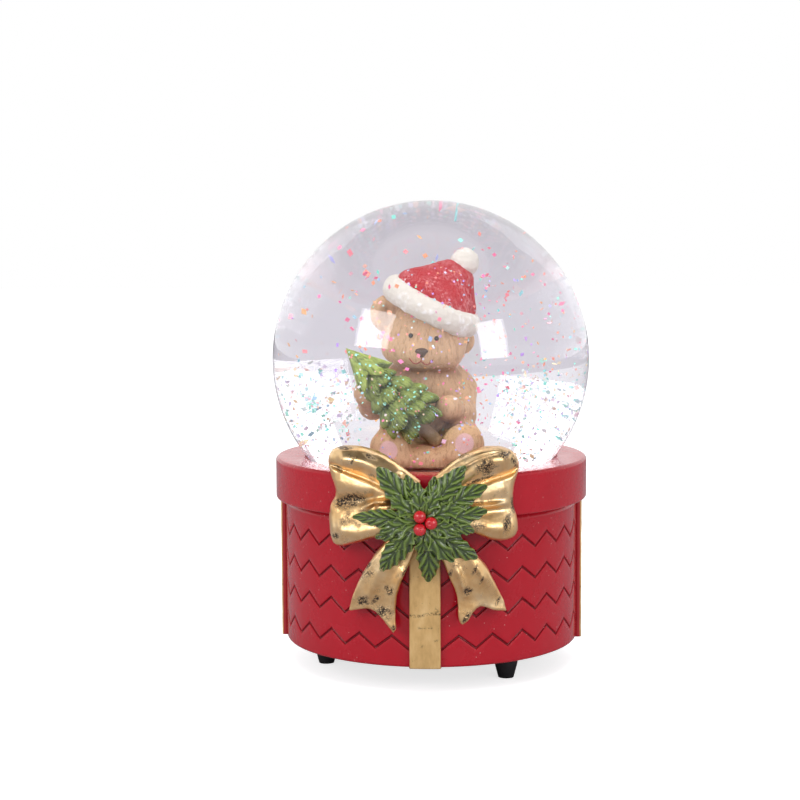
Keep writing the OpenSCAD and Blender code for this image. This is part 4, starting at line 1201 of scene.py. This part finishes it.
def holly_paint():
    """Glossy green with a painted highlight on the edges and raised veins, and painted shade in the hollows.
    """
    paint = Paint("holly_paint", Coat_Weight=1.0, Coat_Roughness=0.04)
    tone = paint.mix(paint.noise(260, 4, 0.65), (0.035, 0.075, 0.006), (0.09, 0.155, 0.014))
    # Painted highlight on the raised veins and edges, then painted shade in the hollows.
    tone = paint.mix(paint.math("MULTIPLY", paint.layer("relief"), 0.55), tone, (0.24, 0.33, 0.05))
    tone = paint.mix(paint.math("MULTIPLY", paint.layer("hollow"), 0.85), tone, (0.010, 0.022, 0.005))
    paint.set(Base_Color=tone, Roughness=paint.ramp(paint.noise(600, 4, 0.6), (0.3, 0.2), (0.7, 0.4)))
    paint.bump(paint.noise(900, 3, 0.6), 0.06, 0.5)
    return paint.material


def band_paint():
    """Flat, hand-brushed gold with fine specks and worn lines, and lacquer on the ribbon's sides."""
    paint = Paint("band_gold", Roughness=0.5)
    strokes = paint.noise(300, 5, 0.65, (1, 1, 0.35))
    tone = paint.ramp(strokes, (0.25, (0.58, 0.35, 0.125)), (0.5, (0.76, 0.50, 0.205)),
                      (0.75, (0.88, 0.63, 0.30)))
    grains = paint.ramp(paint.noise(1700, 4, 0.7), (0.46, 0.0), (0.53, 1.0))
    dots = paint.ramp(paint.noise(1100, 3, 0.75), (0.68, 0.0), (0.71, 1.0))
    dark = paint.math("MAXIMUM", paint.math("MULTIPLY", paint.layer("worn"), grains),
                      paint.math("MULTIPLY", dots, 0.6), True)
    tone = paint.mix(dark, tone, (0.03, 0.015, 0.006))
    side = paint.ramp(paint.layer("side"), (0.14, 0.0), (0.3, 1.0))
    tone = paint.mix(side, tone, (0.36, 0.008, 0.014))
    gold = paint.math("MULTIPLY", paint.math("SUBTRACT", 1.0, side), 0.62)
    paint.set(Base_Color=tone, Metallic=gold, Roughness=paint.ramp(strokes, (0.3, 0.40), (0.7, 0.56)))
    paint.bump(strokes, 0.04, 0.5)
    return paint.material


# --- The box -------------------------------------------------------------------

ZIGZAG_ROWS = 4
ZIGZAG_STEP = 9.63          # from one zigzag to the next one up
ZIGZAG_TALL = 3.95          # from a zigzag's low points to its high points
ZIGZAG_FOOT = 5.5           # from the box's lower edge to the first low points
ZIGZAG_TURN = math.radians(13)
GROOVE_HALF, GROOVE_DEEP = 0.5, 0.62
GROOVE_EDGE = (            # where across a groove, as a share of its width, and the share of its depth there
    (-0.62, 0.0), (-0.5, 0.06), (-0.42, 0.45), (-0.32, 0.93), (0, 1.0),
    (0.32, 0.93), (0.42, 0.45), (0.5, 0.06), (0.62, 0.0))
LID_STEPS = 720


def zigzag(angle):
    """How high each zigzag stands above its low points, at angles measured from a ribbon's middle."""
    quarter = np.mod(angle, math.pi / 2) - (math.pi / 2 - 6 * ZIGZAG_TURN) / 2
    wave = 1 - np.abs(np.mod(quarter / ZIGZAG_TURN, 1) * 2 - 1)
    return np.where((quarter >= 0) & (quarter <= 6 * ZIGZAG_TURN), wave * ZIGZAG_TALL, 0)


def box_wall():
    """The round box: its wall, carved with zigzags whose edges the mesh follows, and its rims."""
    angles = np.linspace(0, 2 * math.pi, 1440, endpoint=False)
    lift = zigzag(angles)
    rows = [(0.9, 0, 0), (2.2, 0, 0)]
    for row in range(ZIGZAG_ROWS):
        foot = ZIGZAG_FOOT + row * ZIGZAG_STEP
        rows += [(foot - 2.2, 1, 0)] + [(foot + at * GROOVE_HALF * 2, 1, deep) for at, deep in GROOVE_EDGE]
        rows += [(foot + 2.4, 1, 0)]
    rows += [(LID_Z - RIM_Z - 2.1, 0, 0)]
    points = []
    profile = arc(BODY_R - 0.9, RIM_Z + 0.9, 0.9, -90, 0, 6)[:-1]
    inner = BORE_R + 0.4
    for radius, z in [(inner, COVER_Z + 2), (inner, RIM_Z + 0.6), (inner + 0.6, RIM_Z)] + profile:
        points.append([radius * np.cos(angles), radius * np.sin(angles), np.full(angles.shape, z)])
    for height, follows, deep in rows:
        z = RIM_Z + height + follows * lift
        radius = BODY_R - GROOVE_DEEP * deep
        points.append([radius * np.cos(angles), radius * np.sin(angles), z])
    ledge = LID_Z - 1.4
    for radius, z in [(BODY_R, ledge), (BODY_R - 0.25, ledge + 0.25), (BODY_R - 0.25, LID_Z + 0.1),
                      (BODY_R - 3.4, LID_Z + 0.1)]:
        points.append([radius * np.cos(angles), radius * np.sin(angles), np.full(angles.shape, z)])
    grid = np.stack([np.stack(p, 1) for p in points])
    turn = turn_matrix(z=math.degrees(RIBBON_TURN))
    flat = grid.reshape(-1, 3) @ turn.T
    count = len(angles)
    faces = grid_faces(len(grid), count, True)
    inner_ring = list(range(count))
    outer_ring = list(range((len(grid) - 1) * count, len(grid) * count))
    faces += [[inner_ring[i], outer_ring[i], outer_ring[(i + 1) % count], inner_ring[(i + 1) % count]]
              for i in range(count)]
    # Painted shade for the lacquer: each row of the grooves is darker the deeper it lies.
    groove = np.concatenate([np.zeros((len(grid) - 4 - len(rows)) * count)]
                            + [np.full(count, deep) for _, _, deep in rows] + [np.zeros(4 * count)])
    dents = 0.05 * value_noise(flat, 7, 61) + 0.02 * value_noise(flat, 2.1, 62)
    out = np.hypot(flat[:, 0], flat[:, 1])
    dents = np.where(out > BODY_R - 2, dents, 0)
    flat[:, :2] *= (1 + dents / out)[:, None]
    piece = mesh_object("box_wall", flat, faces, LACQUER, groove=groove)
    on_base(piece, "red_lacquer", "box_body")


def lid():
    """The lid: a soft-edged drum, open in the middle where the ball sits in it."""
    mouth = math.sqrt(BALL_R ** 2 - (BALL_Z - LID_TOP) ** 2) + 0.35
    outline = arc(LID_R - 0.7, LID_Z + 0.7, 0.7, -90, 0, 8)
    outline += [(LID_R, z) for z in np.arange(LID_Z + 2, LID_TOP - 2, 1.2)]
    outline += arc(LID_R - 1.1, LID_TOP - 1.1, 1.1, 0, 90, 10)
    outline += arc(mouth + 0.6, LID_TOP - 0.6, 0.6, 90, 180, 6)
    outline += [(mouth - 2.2, LID_TOP - 3.4), (mouth - 2.2, LID_Z)]
    points, faces = turned(outline, LID_STEPS)
    points = np.array(points)
    last = (len(outline) - 1) * LID_STEPS
    faces += [[last + i, last + j, j, i] for i, j in ((i, (i + 1) % LID_STEPS) for i in range(LID_STEPS))]
    out = np.hypot(points[:, 0], points[:, 1])
    dents = 0.06 * value_noise(points, 8, 63) + 0.025 * value_noise(points, 2.4, 64)
    points[:, :2] *= (1 + dents / out)[:, None]
    # Painted shade along the lid's rounded top edge, stored for the lacquer to darken.
    edge = smooth_step(0.8, 0.0, np.hypot(out - (LID_R - 0.35), points[:, 2] - (LID_TOP - 0.35)))
    piece = mesh_object("lid", points, faces, LACQUER, groove=edge * 0.5)
    on_base(piece, "red_lacquer", "box_lid")


LACQUER = lacquer()
GOLD = gold_leaf()
HOLLY = holly_paint()
BAND = band_paint()


# --- Glitter -------------------------------------------------------------------

SETTLED_R = 29.0           # how far out the settled flakes lie
FLAKE_T = 0.04
BOX_FACES = ((3, 2, 1, 0), (4, 5, 6, 7), (0, 1, 5, 4), (1, 2, 6, 5), (2, 3, 7, 6), (3, 0, 4, 7))
FLAKE_TONES = (
    (0.0, (0.92, 0.16, 0.42)), (0.18, (0.93, 0.26, 0.20)), (0.32, (0.95, 0.50, 0.14)),
    (0.45, (0.50, 0.28, 0.93)), (0.56, (0.20, 0.86, 0.66)), (0.66, (0.88, 0.86, 0.90)),
    (0.76, (0.66, 0.58, 0.95)), (0.84, (0.95, 0.80, 0.42)), (0.91, (0.93, 0.55, 0.62)),
    (0.97, (0.55, 0.90, 0.95)))
FIGURE_FLAKES = (          # the piece they lie on, how many, the seed of their places, the smallest size
    ("bear_body", 300, 9, 0.40), ("hat_trim", 130, 10, 0.42), ("hat", 45, 11, 0.36), ("tree", 230, 12, 0.38))


def flakes(name, places, normals, sizes, tints, slot):
    """Thin square flakes, each at a place, facing along a normal, with a tint from 0 to 1."""
    rng = np.random.RandomState(len(places))
    normals = normals / np.linalg.norm(normals, axis=1, keepdims=True)
    helper = np.where(np.abs(normals[:, 2:]) < 0.9, [[0, 0, 1.0]], [[1.0, 0, 0]])
    u = np.cross(normals, helper)
    u /= np.linalg.norm(u, axis=1, keepdims=True)
    v = np.cross(normals, u)
    spin = rng.uniform(0, 2 * math.pi, len(places))[:, None]
    u, v = u * np.cos(spin) + v * np.sin(spin), v * np.cos(spin) - u * np.sin(spin)
    half = sizes[:, None] / 2
    corners = []
    for side in (-FLAKE_T / 2, FLAKE_T / 2):
        for a, b in ((-1, -1), (1, -1), (1, 1), (-1, 1)):
            corners.append(places + half * (a * u + b * v) + side * normals)
    points = np.stack(corners, 1).reshape(-1, 3)
    faces = (np.arange(len(places))[:, None, None] * 8 + np.array(BOX_FACES)).reshape(-1, 4).tolist()
    piece = mesh_object(name, points, faces, GLITTER, False, tint=np.repeat(tints, 8))
    return on_base(piece, slot)


def glitter_paint():
    """Pearly flakes of many tints, each flake with its own, which also glow faintly in it as painted light.
    """
    paint = Paint("glitter", Roughness=0.25, Metallic=0.25, Coat_Weight=0.5, Coat_Roughness=0.1)
    tone = paint.ramp(paint.layer("tint"), *FLAKE_TONES)
    sheen = paint.noise(900, 3, 0.6)
    tone = paint.mix(paint.math("MULTIPLY", sheen, 0.12), tone, (1.0, 0.98, 1.0))
    # Emission makes the flakes glow though they are no lamp: painted light.
    paint.set(Base_Color=tone, Emission_Color=tone, Emission_Strength=0.25,
              Roughness=paint.ramp(sheen, (0.3, 0.15), (0.7, 0.35)))
    paint.bump(sheen, 0.02, 0.3)
    return paint.material


def inside_figure(clay, points):
    """Whether points, in millimetres, are inside a sculpted solid or within half a millimetre of it."""
    index = np.round((points - clay.low) / clay.pitch).astype(int)
    inside = np.all((index >= 0) & (index < np.array(clay.field.shape)), axis=1)
    out = np.zeros(len(points), bool)
    out[inside] = clay.field[tuple(index[inside].T)] < 0.5
    return out


def loose_glitter(clay):
    """Flakes adrift in the water: a swirl on the right, thick banks low at both sides, few elsewhere."""
    rng = np.random.RandomState(7)
    radius = BALL_R - GLASS_T - 0.8
    count = 16000
    way = rng.normal(size=(count, 3))
    way /= np.linalg.norm(way, axis=1, keepdims=True)
    places = way * radius * rng.uniform(0, 1, (count, 1)) ** (1 / 3) + [0, 0, BALL_Z]
    x, y, z = ((places - [0, 0, BALL_Z]) / radius).T
    swirl = (x > 0.15) & (z > -0.35) & (z < 0.5)
    bank = (np.abs(x) > 0.38) & (z < -0.06)
    chance = 0.014 + 0.16 * swirl * (1 - y) / 2 + 0.42 * bank + 0.016 * (x < -0.2)
    keep = (rng.uniform(size=count) < chance) & (places[:, 2] > PLUG_TOP + 1) & ~inside_figure(clay, places)
    places, swirl, bank = places[keep], swirl[keep], bank[keep]
    normals = rng.normal(size=places.shape)
    fine, banked, coarse = (rng.uniform(*span, len(places)) for span in ((0.4, 0.85), (0.4, 0.9), (0.7, 1.3)))
    sizes = np.where(swirl, fine, np.where(bank, banked, coarse))
    tints = rng.uniform(size=len(places))
    tints = np.where(bank, 0.5 + 0.5 * tints, tints ** 1.5 * 0.62)
    flakes("glitter_adrift", places, normals, sizes, tints, "liquid")


def settled_glitter(clay):
    """Flakes lying on the seat around the figure and on the figure itself."""
    rng = np.random.RandomState(8)
    count = 1500
    radius = np.sqrt(rng.uniform(0, 1, count)) * SETTLED_R
    angle = rng.uniform(0, 2 * math.pi, count)
    places = np.stack([radius * np.cos(angle), radius * np.sin(angle), np.full(count, PLUG_TOP + 0.25)], 1)
    on_seat = radius < PEDESTAL_R - 1.0
    places[:, 2] = np.where(on_seat, FOOT_Z + 0.12, places[:, 2])
    places = places[(on_seat | (radius > PEDESTAL_R + 0.8)) & ~inside_figure(clay, places)]
    normals = np.array([0, 0, 1.0]) + rng.normal(size=places.shape) * 0.22
    sizes = rng.choice([0.55, 0.75, 0.95], len(places))
    flakes("glitter_settled", places, normals, sizes, rng.uniform(size=len(places)), "liquid")

    for piece_name, count, seed, low_size in FIGURE_FLAKES:
        mesh = bpy.data.objects[piece_name].data
        total = len(mesh.vertices)
        points = vertex_values(mesh, "co").reshape(-1, 3).astype(float)
        points = (points - np.array([*AXIS, 0])) / MM
        normals = vertex_values(mesh, "normal").reshape(-1, 3).astype(float)
        rng = np.random.RandomState(seed)
        facing = np.clip(0.25 - 0.75 * normals[:, 1] + 0.45 * normals[:, 2], 0.02, None)
        chosen = rng.choice(total, count, replace=False, p=facing / facing.sum())
        sizes = low_size * rng.choice([1.0, 1.3, 1.7], count, p=[0.5, 0.35, 0.15])
        tints = rng.uniform(size=count) * (0.8 if piece_name != "tree" else 1)
        if piece_name == "tree":
            tints = np.where(rng.uniform(size=count) < 0.6, 0.58, tints)
        flakes("glitter_" + piece_name, points[chosen] + normals[chosen] * 0.05,
               normals[chosen] + rng.normal(size=(count, 3)) * 0.15, sizes, tints, "liquid")


GLITTER = glitter_paint()


# --- Parts that the frame makes ------------------------------------------------

def rubber(name, tone):
    return plain_paint(name, tone, tuple(c * 1.5 + 0.01 for c in tone), 300, 0.05, (0.5, 0.7), grain=1200)


def plastic(name, low, high):
    return plain_paint(name, low, high, 400, 0.03, (0.35, 0.5), grain=1500)


CAD_PAINTS = {
    "black_feet": (plastic("black_feet", (0.010, 0.010, 0.011), (0.022, 0.021, 0.023)), ("cover_feet",)),
    "cover_black": (plastic("cover_black", (0.014, 0.014, 0.015), (0.03, 0.029, 0.031)), ("bottom_cover",)),
    "stopper_black": (rubber("stopper_black", (0.02, 0.019, 0.019)), ("rubber_stopper",)),
    "ring_pale": (rubber("ring_pale", (0.30, 0.20, 0.20)), ("globe_seat_ring",)),
    "screw_steel": (metal("screw_steel", (0.62, 0.61, 0.59), 0.3),
                    ("cover_screws", "movement_screws", "comb_screws")),
    "zinc": (metal("zinc", (0.55, 0.55, 0.56), 0.45, 260, (1, 1, 1)),
             ("movement_bedplate", "cylinder_bearings", "governor_bracket")),
    "brass": (metal("brass", (0.83, 0.62, 0.26), 0.25),
              ("drive_wheel", "pinned_cylinder", "cylinder_pinion", "cylinder_gear")),
    "key_brass": (metal("key_brass", (0.80, 0.60, 0.27), 0.3), ("winding_key",)),
    "spring_steel": (metal("spring_steel", (0.38, 0.40, 0.46), 0.25), ("spring_barrel", "mainspring")),
    "comb_steel": (metal("comb_steel", (0.66, 0.66, 0.66), 0.2), ("music_comb",)),
    "arbor_steel": (metal("arbor_steel", (0.60, 0.60, 0.60), 0.22),
                    ("winding_arbor", "intermediate_arbor", "governor_worm")),
    "nylon": (plastic("nylon", (0.72, 0.71, 0.68), (0.85, 0.84, 0.80)), ("worm_wheel", "governor_fly")),
}


def paint_cad_nodes():
    """Gives every CAD node that shows its own finish."""
    for material, nodes in CAD_PAINTS.values():
        for node in nodes:
            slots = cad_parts[node].data.materials
            slots.clear()
            slots.append(material)


camera()
studio()
glass_ball()
pedestal()
figure = bear_clay()
bear(figure)
face_parts(figure)
hat()
tree()
lid()
box_wall()
for side, name in enumerate(("ribbon_front", "ribbon_right", "ribbon_back", "ribbon_left")):
    band(name, RIBBON_TURN + (side - 1) * math.pi / 2)
bow()
holly()
berries()
paint_cad_nodes()
loose_glitter(figure)
settled_glitter(figure)
